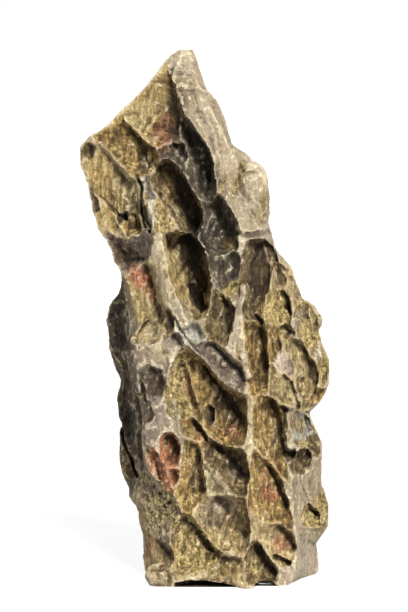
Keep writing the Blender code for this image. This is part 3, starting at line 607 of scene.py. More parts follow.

# Stains: middle, half width, half height, lean to the right, strength, colour. The darkest, in umber and near
# black, are painted shade in slots, hollows and under ledges.
STAINS_AND_SHADE = (
    ((-30, 470), 14, 40, 0.1, 0.75, "umber_shade"),
    ((-40, 455), 10, 22, 0.2, 0.5, "rust"),
    ((-47, 460), 3, 7, 0.0, 0.9, "rust"),
    ((-66, 470), 12, 16, 0.3, 0.5, "moss"),
    ((-86, 430), 10, 12, -0.4, 0.5, "straw"),
    ((-76, 402), 14, 10, 0.0, 0.4, "moss"),
    ((-100, 402), 12, 22, -0.2, 0.45, "ochre"),
    ((-68, 386), 8, 12, 0.0, 0.5, "umber_shade"),
    ((-86, 384), 10, 10, 0.0, 0.5, "straw"),
    ((-65, 311), 11, 13, -0.3, 1.0, "rust"),
    ((-56, 300), 8, 16, -0.2, 0.6, "rust"),
    ((-84, 340), 22, 16, 0.0, 0.6, "umber_shade"),
    ((-36, 400), 6, 20, -0.4, 0.7, "ochre"),
    # Painted shade: near black down the long slot.
    ((-14, 382), 9, 26, -0.4, 0.9, "black"),
    ((-28, 300), 7, 26, -0.5, 0.6, "ochre"),
    ((-22, 280), 8, 12, -0.5, 0.6, "slate"),
    ((3, 300), 3, 20, 0.0, 0.8, "orange"),
    # Painted shade: near black across the top of the main cavity.
    ((-10, 342), 17, 20, 0.0, 0.95, "black"),
    ((-6, 318), 12, 28, -0.4, 0.8, "umber_shade"),
    ((-16, 392), 12, 26, -0.4, 0.6, "umber_shade"),
    ((26, 344), 6, 6, 0.0, 1.0, "straw"),
    ((24, 296), 8, 12, 0.5, 0.8, "straw"),
    ((16, 396), 3, 20, 0.4, 0.6, "straw"),
    ((34, 404), 6, 14, 0.4, 0.5, "straw"),
    ((60, 384), 6, 24, 0.2, 0.4, "straw"),
    ((44, 426), 8, 8, 0.0, 0.5, "pink"),
    ((38, 420), 5, 6, 0.0, 0.6, "straw"),
    ((60, 336), 10, 14, 0.0, 0.8, "umber_shade"),
    ((50, 316), 6, 24, 0.0, 0.5, "umber_shade"),
    ((76, 290), 10, 10, 0.0, 0.6, "straw"),
    ((60, 280), 5, 14, 0.0, 0.6, "straw"),
    ((92, 264), 6, 16, 0.3, 0.7, "slate"),
    ((102, 276), 8, 8, 0.0, 0.6, "pink"),
    ((104, 262), 3, 12, 0.4, 0.9, "straw"),
    ((116, 266), 5, 8, 0.0, 0.7, "umber_shade"),
    ((120, 222), 6, 20, 0.1, 0.9, "straw"),
    ((114, 232), 5, 8, 0.2, 0.6, "slate"),
    ((100, 200), 8, 12, 0.0, 0.6, "straw"),
    ((82, 262), 8, 10, 0.0, 0.3, "pink"),
    ((86, 160), 4, 20, 0.2, 0.85, "slate"),
    ((89, 166), 2.4, 18, 0.25, 0.9, "orange"),
    ((96, 162), 4, 8, 0.0, 0.7, "straw"),
    ((100, 144), 9, 4, -0.7, 0.9, "straw"),
    ((76, 120), 3, 5, 0.0, 0.95, "orange"),
    ((72, 150), 4, 10, 0.2, 0.7, "umber_shade"),
    ((66, 94), 11, 9, -0.3, 0.9, "rust"),
    ((60, 112), 6, 12, 0.2, 0.4, "rust"),
    ((58, 74), 7, 8, 0.0, 0.4, "moss"),
    ((78, 44), 9, 9, 0.0, 0.6, "rust"),
    ((78, 24), 6, 4, -0.5, 0.7, "straw"),
    ((52, 20), 5, 12, 0.0, 0.8, "straw"),
    ((44, 100), 2.4, 40, -0.05, 0.5, "orange"),
    ((44, 72), 2.0, 20, 0.0, 0.9, "orange"),
    ((117, 76), 8, 20, 0.0, 0.8, "straw"),
    ((-44, 120), 10, 20, -0.4, 0.5, "rust"),
    ((28, 112), 5, 6, 0.0, 0.5, "slate"),
    ((-16, 158), 7, 6, -0.6, 0.9, "straw"),
    ((-8, 170), 8, 6, 0.0, 0.6, "umber_shade"),
    ((-4, 156), 5, 8, 0.0, 0.5, "orange"),
    ((-10, 112), 3, 14, 0.0, 0.7, "umber_shade"),
    ((-16, 88), 8, 8, 0.0, 0.5, "straw"),
    ((10, 176), 5, 8, 0.2, 0.6, "umber_shade"),
    ((26, 178), 14, 18, -0.4, 0.7, "umber_shade"),
    ((28, 156), 9, 8, 0.0, 0.6, "rust"),
    ((-14, 196), 5, 22, -0.2, 0.5, "rust"),
    ((-16, 178), 10, 8, 0.0, 0.5, "straw"),
    ((8, 72), 14, 14, 0.0, 0.6, "mauve"),
    ((18, 84), 18, 9, 0.0, 0.7, "mauve"),
    ((30, 56), 5, 24, -0.3, 0.3, "orange"),
    ((-20, 40), 6, 9, 0.0, 0.6, "umber_shade"),
    ((-18, 66), 7, 6, 0.0, 0.7, "umber_shade"),
    ((-6, 28), 16, 8, 0.0, 0.6, "straw"),
    ((20, 20), 22, 8, 0.0, 0.5, "straw"),
    ((-42, 10), 14, 14, 0.0, 0.6, "brown"),
    ((-54, 40), 4, 14, 0.3, 0.5, "rust"),
    ((-36, 52), 12, 14, 0.0, 0.6, "mauve"),
    ((-50, 98), 10, 5, -0.4, 0.6, "pink"),
    ((-46, 86), 12, 10, 0.0, 0.3, "ochre"),
    ((-38, 148), 2.4, 10, 0.1, 0.9, "straw"),
    ((-27, 166), 5, 34, -0.2, 0.7, "slate"),
    ((-31, 226), 5, 30, 0.0, 0.4, "pink"),
    ((-46, 236), 12, 10, -0.3, 0.6, "moss"),
    ((-58, 236), 12, 22, 0.0, 0.35, "pink"),
    ((-50, 206), 9, 12, 0.0, 0.8, "umber_shade"),
    ((-60, 318), 8, 5, 0.0, 0.4, "mauve"),
    ((-50, 258), 10, 10, 0.0, 0.4, "slate"),
    ((-74, 262), 5, 12, 0.0, 0.5, "slate"),
    ((-44, 380), 10, 14, 0.0, 0.3, "straw"),
    ((-52, 378), 5, 18, -0.1, 0.6, "slate"),
    ((-58, 388), 3, 8, 0.0, 0.8, "orange"),
)

# Hollows under the front edge, between the feet: outline in the front view, front depth, back depth.
UNDERCUTS = (
    (((-34, -14), (-31, 6), (-14, 9), (4, 9), (24, 5), (38, 0), (42, -14)), -110, -34),
    (((48, -14), (50, 4), (58, 8), (68, 8), (75, 3), (79, -14)), -110, -30),
    (((84, -14), (88, 0), (98, 5), (108, 9), (118, 15), (134, 16), (134, -14)), -110, 4),
    (((-20, -14), (-12, 5), (24, 7), (52, 4), (58, -14)), -26, 46),
)


# The pits of the sides and the back stand in slanted rows round the stone, in steps and degrees.
ROW_HEIGHTS = (20, 66, 116, 168, 222, 276, 328, 380, 428, 472)
AROUND_FIRST, AROUND_LAST = 76, 284
SIDE_PIT_SPACING = 25 * MM
SIDE_PIT_HALF_LENGTH = 40
SIDE_PIT_HALF_WIDTH = 21
SIDE_PIT_SLANT = 24
SIDE_PIT_CORNERS = 9
FEWEST_IN_ROW = 3
DEEPEST_FROM, DEEPEST_TO = 0.55, -0.15

# The seed of the random draws and of the noise.
SEED = 21

# How far each side pit may stray: place along its row, sizes, slant, height, corners, depth and steepness.
ROW_START, ROW_STAGGER = 0.25, 0.5
PLACE_RANGE = (-0.15, 0.15)
LENGTH_RANGE = (0.7, 1.2)
WIDTH_RANGE = (0.7, 1.3)
SLANT_RANGE = (-14, 14)
LIFT_RANGE = (-8, 8)
CORNER_TURN_RANGE = (-0.2, 0.2)
CORNER_SIZE_RANGE = (0.85, 1.15)
DEEPEST_SHIFT_RANGE = (0.1, 0.45)
DEPTH_RANGE = (8, 16)
STEEPNESS_RANGE = (1.6, 2.4)

# The sides and the back of the mass wander in and out, in steps.
WANDER_FROM, WANDER, WANDER_SIZE = -16, 9, 34
WANDER_INWARD, WANDER_SIDES = 0.5, 1.4

# Share of its drawn size that an undercut has at its front, middle and back end.
UNDERCUT_SIZES = (1.0, 0.96, 0.6)

# A pit's rim grows past its outline, most at the lower left, and its walls are steepest at the upper right.
STEEP_SIDE = np.array((0.83, 0.56))
GROWTH, GROWTH_LEAN = 5.6, 0.65
STEEP_SHARE, STEEP_LEAN = 1.15, 0.95
CORNER_CUT = 0.12
RIM_SPAN = 30
RIM_BLUR = 0.5
REACH_TRIES = 10
DEPTH_SCALE = 1.25

# From the rim to the deepest part, as shares of the way: where the folds, the colour and the painted shade
# come in.
FOLDS = 0.14
FOLD_BAND = (0.0, 0.3)
COLOUR_BAND = (-0.02, 0.14)
COLOUR_WANDER = 0.1
SHADE_BAND = (0.35, 1.0)
# Pit colours are painted lighter at the rim and darker towards the deepest part, as painted shade.
RIM_TONE, SHADE = 1.14, 0.55

# A point may sink by a share of the stone behind it, less a reserve.
THINNEST_SHARE = 0.36
RESERVE = 0.8 * MM
RAY_START = 2 * MM
SKIN_START = 0.2 * MM

# How far a surface has to face the eye, or away from it, to be scooped from there.
FRONT_BAND = (0.02, 0.3)
BEHIND_BAND = (0.08, 0.45)
SIDE_BAND = (0.1, 0.45)
SEEN_GAP = 1.5 * MM
BAR_BAND = (0.55, 1.1)
COVER_CAP = 60 * MM
COVER_ROUNDS = 8

# Sizes and amounts of the uneven run of the rims, and of the folds and specks of the ground.
RIM_WANDERS = ((9 * MM, 1.6), (3.5 * MM, 0.7))
SIDE_WANDERS = ((26 * MM, 3.2 * MM), (8 * MM, 1.0 * MM))
SPECK_SIZE = 5 * MM
FOLD_SLANT = np.array(((0.92, 0, 0.1), (0, 1, 0), (-0.37, 0, 0.27)))
FOLD_SIZE, FINE_FOLD_SIZE, FINE_FOLDS = 5 * MM, 2.4 * MM, 0.6
PATCH_SIZE = 22 * MM
PATCH_BAND = (0.28, 0.5)
PATCHES = ((0, "rust", 0.7), (1, "shade", 0.7), (2, "straw", 0.6))

# How much painted shade darkens the cracks and holes, and how a stain fades towards its edge.
CRACK_SHADE, DARK_CRACK = 0.45, 6
HOLE_SHADE = 0.6
STAIN_BAND = (-1.25, -0.55)

# Weathering: where the stone is thick enough for it, sizes of its grains, and the slant of its grooves.
THICK_BAND = (1.5 * MM, 6 * MM)
CRUMBLY_BAND = (0.5, 1.0)
WEIGHT_STEPS = 40
SWAY_SIZE = 16 * MM
SCALLOP_SIZE = 6 * MM
STRIATION_SIZE = 2.2 * MM
FINE_STRIATION_SIZE = 2.6 * MM
FINE_STRIATION_SHARE = 0.5
CRUMB_SIZE = 2.4 * MM
GROOVE_SLANT = math.radians(22)
SCALLOP_STRETCH = (0.8, 0.8, 2.8)
STRIATION_STRETCH = (1, 1, 6)
FINE_STRIATION_STRETCH = (1, 1, 5)

# The finished surface: gap to the sides of the frame's box, sharpest smoothed edge, and the layers of relief.
BOX_GAP = 0.05 * MM
CREASE = math.radians(38)
NEAREST_POINTS = 3
POINT_BLUR = 0.1 * MM
RELIEF_LAYERS = ((3, "relief", 0.35 * MM), (60, "hollow", 3.0 * MM))

# Tints and strengths of the finish.
CLOUD_TINT = (0.62, 0.60, 0.50)
SPOT_TINT, SPOT_STRENGTH = (0.60, 0.54, 0.45), 0.5
STREAK_TINT = (0.34, 0.27, 0.17)
WIDE_STREAK_TINT, WIDE_STREAK_STRENGTH = (0.66, 0.56, 0.42), 0.5
GRAIN_TINT, GRAIN_STRENGTH = (0.34, 0.29, 0.22), 0.65
CRUST_COLOUR = (0.60, 0.47, 0.18)
DOT_COLOUR = (0.05, 0.036, 0.022)
# Pale crests: painted highlight where the ridges catch the light, and partly pale wear.
CREST_HIGHLIGHT_AND_WEAR = (0.70, 0.58, 0.39)
# Painted shade for the creases and the hollows.
CREASE_SHADE_TINT = (0.16, 0.12, 0.08)
HOLLOW_SHADE_TINT = (0.3, 0.25, 0.18)
CLOUD_WARP = 6 * MM
STREAK_SQUASH = 0.16
BUMP_STRENGTH, BUMP_HEIGHT = 0.9, 1.9 * MM
GROOVE_HEIGHT, SPOT_HEIGHT = -0.9, 0.7

# The stage.
FLOOR_SIZE = 40
FLOOR_GLOW = 0.88
KEY_DIRECTION = (-0.32, 0.8, -0.68)
SENSOR_HEIGHT = 36


class StoneShape(bpy.types.PropertyGroup):
    body_grain: bpy.props.FloatProperty(
        name="Body Grain", description="Size of the grid in which the pits are scooped",
        default=0.95 * MM, min=0.5 * MM, max=5 * MM, unit="LENGTH", precision=5)
    surface_grain: bpy.props.FloatProperty(
        name="Surface Grain", description="Size of the grid of the weathered surface",
        default=0.66 * MM, min=0.5 * MM, max=5 * MM, unit="LENGTH", precision=5)
    triangles: bpy.props.IntProperty(
        name="Triangles", description="Most triangles that the finished stone may have",
        default=196000, min=5000)
    sway: bpy.props.FloatProperty(
        name="Sway", description="Height of the broad unevenness",
        default=2.4 * MM, min=0, max=9 * MM, unit="LENGTH", precision=5)
    scallops: bpy.props.FloatProperty(
        name="Scallops", description="Depth of the small hollows that lie side by side in rough places",
        default=1.9 * MM, min=0, max=9 * MM, unit="LENGTH", precision=5)
    striation: bpy.props.FloatProperty(
        name="Striation", description="Depth of the fine slanted grooves",
        default=1.5 * MM, min=0, max=9 * MM, unit="LENGTH", precision=5)
    crumble: bpy.props.FloatProperty(
        name="Crumble", description="Height of the crumbs of rough places",
        default=1.6 * MM, min=0, max=9 * MM, unit="LENGTH", precision=5)
    offset: bpy.props.FloatVectorProperty(
        name="Offset", description="How far the finished stone was moved to fit the frame", size=3,
        unit="LENGTH")


def colour(name, description, value):
    """A setting for a colour."""
    return bpy.props.FloatVectorProperty(
        name=name, description=description, default=value, min=0, max=1, size=3, subtype="COLOR")


class StoneColours(bpy.types.PropertyGroup):
    taupe: colour("Skin", "Smooth skin of the ridges", (0.39, 0.325, 0.23))
    clay: colour("Clay", "Ground of most facets", (0.53, 0.415, 0.205))
    ochre: colour("Ochre", "Floors of most pits", (0.62, 0.44, 0.165))
    olive: colour("Olive", "Greenish pit floors", (0.56, 0.44, 0.20))
    moss: colour("Moss", "Palest greenish floors", (0.54, 0.46, 0.27))
    tan: colour("Tan", "Broad smooth facets", (0.57, 0.45, 0.24))
    brown: colour("Brown", "Deep pits", (0.33, 0.245, 0.115))
    # Umber, used as painted shade: the dark brown given to the darkest hollows, the slots and the undersides
    # of ledges.
    umber_shade: colour("Umber", "Darkest hollows", (0.20, 0.145, 0.085))
    shade: colour("Shade", "Dark grey-brown hollows", (0.185, 0.16, 0.12))
    # Painted shade: near black for the insides of the slots and the top of the main cavity, where no light
    # reaches.
    black: colour("Black", "Bottoms of the slots", (0.012, 0.010, 0.008))
    rust: colour("Rust", "Brick-red patches", (0.72, 0.32, 0.17))
    orange: colour("Orange", "Bright orange-brown rims", (0.56, 0.32, 0.10))
    mauve: colour("Mauve", "Mauve-brown skin", (0.32, 0.26, 0.21))
    pink: colour("Pink", "Pinkish skin", (0.48, 0.385, 0.30))
    slate: colour("Slate", "Blue-grey patches", (0.42, 0.42, 0.36))
    straw: colour("Straw", "Crumbly yellow crust", (0.78, 0.61, 0.27))
    lichen: colour("Lichen", "Rough grey-green places", (0.72, 0.62, 0.42))
    # The lobe's colour is painted shade: the lobe lies back in the shadow of the main mass and is painted
    # dark brown for it.
    lobe: colour("Lobe", "Dark skin of the lobe at the left", (0.15, 0.11, 0.06))


class StageSettings(bpy.types.PropertyGroup):
    floor: colour("Floor", "Colour of the floor", (0.15, 0.15, 0.15))
    key_power: bpy.props.FloatProperty(
        name="Key Light", description="Strength of the light from the upper right", default=8.6, min=0)
    key_size: bpy.props.FloatProperty(
        name="Key Softness", description="Angle that the key light fills", default=math.radians(22), min=0,
        subtype="ANGLE")
    fill: bpy.props.FloatProperty(
        name="Fill Light", description="Strength of the light from all round", default=0.38, min=0)


# How crumbly and how striated each colour of ground is.
ROUGHNESS = {
    "taupe": 0.08, "ochre": 0.6, "olive": 0.35, "moss": 0.25, "tan": 0.3, "brown": 0.6, "umber_shade": 0.5,
    "shade": 0.55, "black": 0.4, "rust": 0.5, "orange": 0.6, "mauve": 0.3, "pink": 0.15, "slate": 0.25,
    "straw": 1.0, "lichen": 0.9, "lobe": 0.3, "clay": 0.35,
}

# Colours that the pits of the sides and the back draw from.
SIDE_TONES = ("ochre", "ochre", "olive", "olive", "clay", "tan", "moss", "brown", "tan")


def deselect():
    bpy.ops.object.select_all(action="DESELECT")


def select_only(obj):
    deselect()
    bpy.context.view_layer.objects.active = obj
    obj.select_set(True)


def apply_modifiers(obj):
    select_only(obj)
    for modifier in list(obj.modifiers):
        bpy.ops.object.modifier_apply(modifier=modifier.name)


def coordinates(mesh, layer="co"):
    """The places of a mesh's points, or another of their vectors, as rows."""
    values = np.empty(len(mesh.vertices) * 3)
    mesh.vertices.foreach_get(layer, values)
    return values.reshape(-1, 3)


def set_coordinates(mesh, places):
    mesh.vertices.foreach_set("co", places.astype(np.float32).ravel())
    mesh.update()


def surface_of(obj):
    """The surface of an object, for casting rays at it."""
    return BVHTree.FromObject(obj, bpy.context.evaluated_depsgraph_get())


def smooth_step(values, low, high):
    """From 0 at the low value to 1 at the high one, without a corner."""
    share = np.clip((values - low) / (high - low), 0, 1)
    return share * share * (3 - 2 * share)


def distance_to_path(flats, path):
    """How far each flat place lies from a path of straight runs."""
    path = np.array(path, float)
    nearest = np.full(len(flats), np.inf)
    for start, end in zip(path, path[1:]):
        along = end - start
        share = np.clip(((flats - start) @ along) / max(along @ along, TINY), 0, 1)
        nearest = np.minimum(nearest, np.linalg.norm(flats - start - share[:, None] * along, axis=1))
    return nearest


class Drawing:
    """A way of looking at the stone: flat places are across and up, in steps, and reach is how far in."""

    def __init__(self, middle, turn, tilt, rise):
        self.inward = np.array((
            -math.sin(turn) * math.cos(tilt), math.cos(turn) * math.cos(tilt), -math.sin(tilt)))
        self.across = np.array((math.cos(turn), math.sin(turn), 0.0))
        self.up = np.cross(self.across, self.inward)
        self.aim = np.array((middle * STEP, 0.0, rise * STEP))
        self.eye = self.aim - self.inward * EYE_DISTANCE * STEP

    def flats(self, places):
        away = places - self.eye
        spread = EYE_DISTANCE / (away @ self.inward)
        return np.stack(((away @ self.across) * spread, (away @ self.up) * spread + AIM_HEIGHT), axis=1)

    def reaches(self, places):
        return (places - self.eye) @ self.inward

    def direction(self, flat):
        aimed = self.aim + (self.across * flat[0] + self.up * (flat[1] - AIM_HEIGHT)) * STEP
        return Vector(aimed - self.eye).normalized()

    def at_depth(self, flat, depth):
        """The place seen at a flat place whose depth, as y, is given in steps."""
        direction = self.direction(flat)
        return Vector(self.eye) + direction * (depth * STEP - self.eye[1]) / direction.y

    def reach_of(self, flat, middle, tree):
        """Reach of the surface at a flat place, or at the nearest one towards the middle that is on it."""
        for step in range(REACH_TRIES + 1):
            tried = flat + (middle - flat) * step / REACH_TRIES
            hit = tree.ray_cast(Vector(self.eye), self.direction(tried))[0]
            if hit:
                return (np.array(hit) - self.eye) @ self.inward
        return None

    def moved(self, places, reach, sunk):
        return self.eye + (places - self.eye) * ((reach + sunk) / reach)[:, None]


FRONT = Drawing(0, 0, EYE_TILT, AIM_RISE)


class Pit:
    """A bowl whose walls fall from a rim outline to a line along its deepest part."""

    def __init__(self, drawing, tree, outline, deepest, depth, steepness, tone):
        corners = np.array(outline, float)
        middle = corners.mean(axis=0)
        self.deepest = np.array(deepest, float)
        self.depth = depth
        self.steepness = steepness
        self.tone = tone
        outward = corners - self.nearest_deepest(corners)
        outward /= np.linalg.norm(outward, axis=1)[:, None]
        corners += outward * (GROWTH * (1 - GROWTH_LEAN * outward @ STEEP_SIDE))[:, None]
        rim, reaches = [], []
        for flat in rounded(corners):
            reach = drawing.reach_of(flat, middle, tree)
            if reach is not None:
                rim.append(flat)
                reaches.append(reach)
        self.rim = np.array(rim)
        if len(rim):
            usual = np.median(reaches)
            self.rim_reach = np.clip(reaches, usual - RIM_SPAN * STEP, usual + RIM_SPAN * STEP)

    def nearest_deepest(self, flats):
        start, end = self.deepest
        along = end - start
        share = np.clip(((flats - start) @ along) / max(along @ along, TINY), 0, 1)
        return start + share[:, None] * along

    def covers(self, flats):
        """Which flat places lie inside the rim."""
        low, high = self.rim.min(axis=0), self.rim.max(axis=0)
        near = np.all((flats > low) & (flats < high), axis=1)
        x, z = flats[near].T
        inside = np.zeros(len(x), bool)
        for (x0, z0), (x1, z1) in zip(self.rim, np.roll(self.rim, -1, axis=0)):
            if z0 != z1:
                inside ^= ((z0 > z) != (z1 > z)) & (x < (x1 - x0) * (z - z0) / (z1 - z0) + x0)
        near[near] = inside
        return near

    def bowl(self, flats):
        """For places inside the rim: share of the way down, and reach of the bowl's floor."""
        to_rim = distance_to_path(flats, np.vstack((self.rim, self.rim[:1])))
        to_deepest = np.linalg.norm(flats - self.nearest_deepest(flats), axis=1)
        share = to_rim / (to_rim + to_deepest + TINY)
        outward = (flats - self.nearest_deepest(flats)) / (to_deepest + TINY)[:, None]
        steepness = 1 + (self.steepness - 1) * (STEEP_SHARE + STEEP_LEAN * outward @ STEEP_SIDE)
        gaps = np.sum((flats[:, None] - self.rim[None]) ** 2, axis=2)
        weight = 1 / (gaps + RIM_BLUR)
        cover = (weight * self.rim_reach).sum(axis=1) / weight.sum(axis=1)
        return share, cover + self.depth * (1 - (1 - share) ** steepness)


def rounded(corners):
    """The outline with its corners cut."""
    following = np.roll(corners, -1, axis=0)
    first = corners * (1 - CORNER_CUT) + following * CORNER_CUT
    second = corners * CORNER_CUT + following * (1 - CORNER_CUT)
    return np.stack((first, second), axis=1).reshape(-1, 2)


def along_line(line, height):
    """The point of a line at a drawn height, as x and depth."""
    heights, across, depths = zip(*line)
    return float(np.interp(height, heights, across)), float(np.interp(height, heights, depths))


def mass(name, lines):
    """A solid whose sides follow lines: a cylinder with a side edge for each line, cut into levels."""
    first, last = lines[0][0][0], lines[0][-1][0]
    levels = round((last - first) / LEVEL_SPACING)
    deselect()
    bpy.ops.mesh.primitive_cylinder_add(vertices=len(lines), radius=1, depth=1, end_fill_type="NGON")
    obj = bpy.context.object
    obj.name = name
    bpy.ops.object.mode_set(mode="EDIT")
    shape = bmesh.from_edit_mesh(obj.data)
    for edge in shape.edges:
        low, high = edge.verts
        edge.select = abs(low.co.z - high.co.z) > 0.5
    bmesh.update_edit_mesh(obj.data)
    bpy.ops.mesh.subdivide(number_cuts=levels - 1)
    bpy.ops.object.mode_set(mode="OBJECT")
    for vertex in obj.data.vertices:
        turn = math.atan2(-vertex.co.x, vertex.co.y) / math.tau
        line = lines[round(turn * len(lines)) % len(lines)]
        height = first + (last - first) * (vertex.co.z + 0.5)
        x, depth = along_line(line, height)
        if depth > WANDER_FROM:
            wave = noise.noise(Vector((x / WANDER_SIZE, depth / WANDER_SIZE, height / WANDER_SIZE)))
            depth += WANDER * (wave - WANDER_INWARD if depth > 0 else WANDER_SIDES * wave)
        vertex.co = FRONT.at_depth((x, height), depth)
    return obj


def swelling(name, middle, half_sizes):
    """A ball that stands out of the mass, with its half sizes in steps."""
    x, depth, height = middle
    deselect()
    bpy.ops.mesh.primitive_ico_sphere_add(
        subdivisions=3, radius=STEP, location=FRONT.at_depth((x, height), depth), scale=half_sizes)
    obj = bpy.context.object
    obj.name = name
    return obj


def boolean(obj, others, operation):
    """Joins other objects to this one, or cuts them out of it."""
    group = bpy.data.collections.new(operation)
    bpy.context.scene.collection.children.link(group)
    for other in others:
        for holder in list(other.users_collection):
            holder.objects.unlink(other)
        group.objects.link(other)
    modifier = obj.modifiers.new(operation, "BOOLEAN")
    modifier.operation = operation
    modifier.solver = "EXACT"
    modifier.operand_type = "COLLECTION"
    modifier.collection = group
    apply_modifiers(obj)
    for other in others:
        bpy.data.objects.remove(other, do_unlink=True)
    bpy.data.collections.remove(group)


def undercut(name, outline, front, back):
    """A low hollow under the stone that narrows towards its back end."""
    flats = np.array(outline, float)
    middle = flats.mean(axis=0)
    mesh = bpy.data.meshes.new(name)
    shape = bmesh.new()
    rings = []
    for depth, size in zip((front, (front + back) / 2, back), UNDERCUT_SIZES):
        ring = [FRONT.at_depth(flat, depth) for flat in middle + (flats - middle) * size]
        rings.append([shape.verts.new(place) for place in ring])
    count = len(outline)
    for near, far in zip(rings, rings[1:]):
        for i in range(count):
            j = (i + 1) % count
            shape.faces.new((near[i], near[j], far[j], far[i]))
    shape.faces.new(list(reversed(rings[0])))
    shape.faces.new(rings[-1])
    bmesh.ops.triangulate(shape, faces=shape.faces[:])
    bmesh.ops.recalc_face_normals(shape, faces=shape.faces[:])
    shape.to_mesh(mesh)
    shape.free()
    obj = bpy.data.objects.new(name, mesh)
    bpy.context.scene.collection.objects.link(obj)
    return obj


def voxel_remesh(obj, size):
    """Gives the object an even skin of small squares."""
    select_only(obj)
    obj.data.remesh_voxel_size = size
    bpy.ops.object.voxel_remesh()


def ranges(drawing, places, tree):
    """Reach of the first surface on the way to each place, or infinity."""
    eye = Vector(drawing.eye)
    found = np.full(len(places), np.inf)
    for i, place in enumerate(places):
        hit = tree.ray_cast(eye, (Vector(place) - eye).normalized())[0]
        if hit:
            found[i] = (np.array(hit) - drawing.eye) @ drawing.inward
    return found


def thicknesses(drawing, places, tree):
    """How far the stone reaches behind each place."""
    eye = Vector(drawing.eye)
    found = np.zeros(len(places))
    for i, place in enumerate(places):
        place = Vector(place)
        direction = (place - eye).normalized()
        hit = tree.ray_cast(place + direction * RAY_START, direction)[0]
        if hit:
            found[i] = (hit - place).length
    return found


def wandering(places, size, amount):
    """A smooth offset of each place, in three directions."""
    return np.array([noise.noise_vector(Vector(place) / size) for place in places]) * amount


def side_pits():
    """Each pit of the sides and the back: middle, turn, outline, deepest line, depth, steepness."""
    chance = random.Random(SEED)
    for row, height in enumerate(ROW_HEIGHTS):
        left, right = along_line(LEFT_EDGE, height)[0], along_line(RIGHT_EDGE, height)[0]
        back = along_line(BACK_MIDDLE, height)[1]
        girth = math.pi * ((right - left) / 2 + back) / 2 * STEP * (AROUND_LAST - AROUND_FIRST) / 180
        count = max(FEWEST_IN_ROW, round(girth / SIDE_PIT_SPACING))
        for i in range(count):
            share = (i + ROW_STAGGER * (row % 2) + ROW_START + chance.uniform(*PLACE_RANGE)) / count
            turn = math.radians(AROUND_FIRST + share * (AROUND_LAST - AROUND_FIRST))
            length = SIDE_PIT_HALF_LENGTH * chance.uniform(*LENGTH_RANGE)
            width = SIDE_PIT_HALF_WIDTH * chance.uniform(*WIDTH_RANGE)
            slant = math.radians(SIDE_PIT_SLANT + chance.uniform(*SLANT_RANGE))
            centre = np.array((0.0, height + chance.uniform(*LIFT_RANGE)))
            upward = np.array((math.sin(slant), math.cos(slant)))
            sideways = np.array((math.cos(slant), -math.sin(slant)))
            outline = []
            for corner in range(SIDE_PIT_CORNERS):
                around = math.tau * corner / SIDE_PIT_CORNERS + chance.uniform(*CORNER_TURN_RANGE)
                size = chance.uniform(*CORNER_SIZE_RANGE)
                offset = sideways * math.cos(around) * width + upward * math.sin(around) * length
                outline.append(centre + offset * size)
            shift = sideways * width * chance.uniform(*DEEPEST_SHIFT_RANGE) + centre
            deepest = (upward * length * DEEPEST_FROM + shift, upward * length * DEEPEST_TO + shift)
            depth = chance.uniform(*DEPTH_RANGE)
            yield (left + right) / 2, turn, outline, deepest, depth, chance.uniform(*STEEPNESS_RANGE)


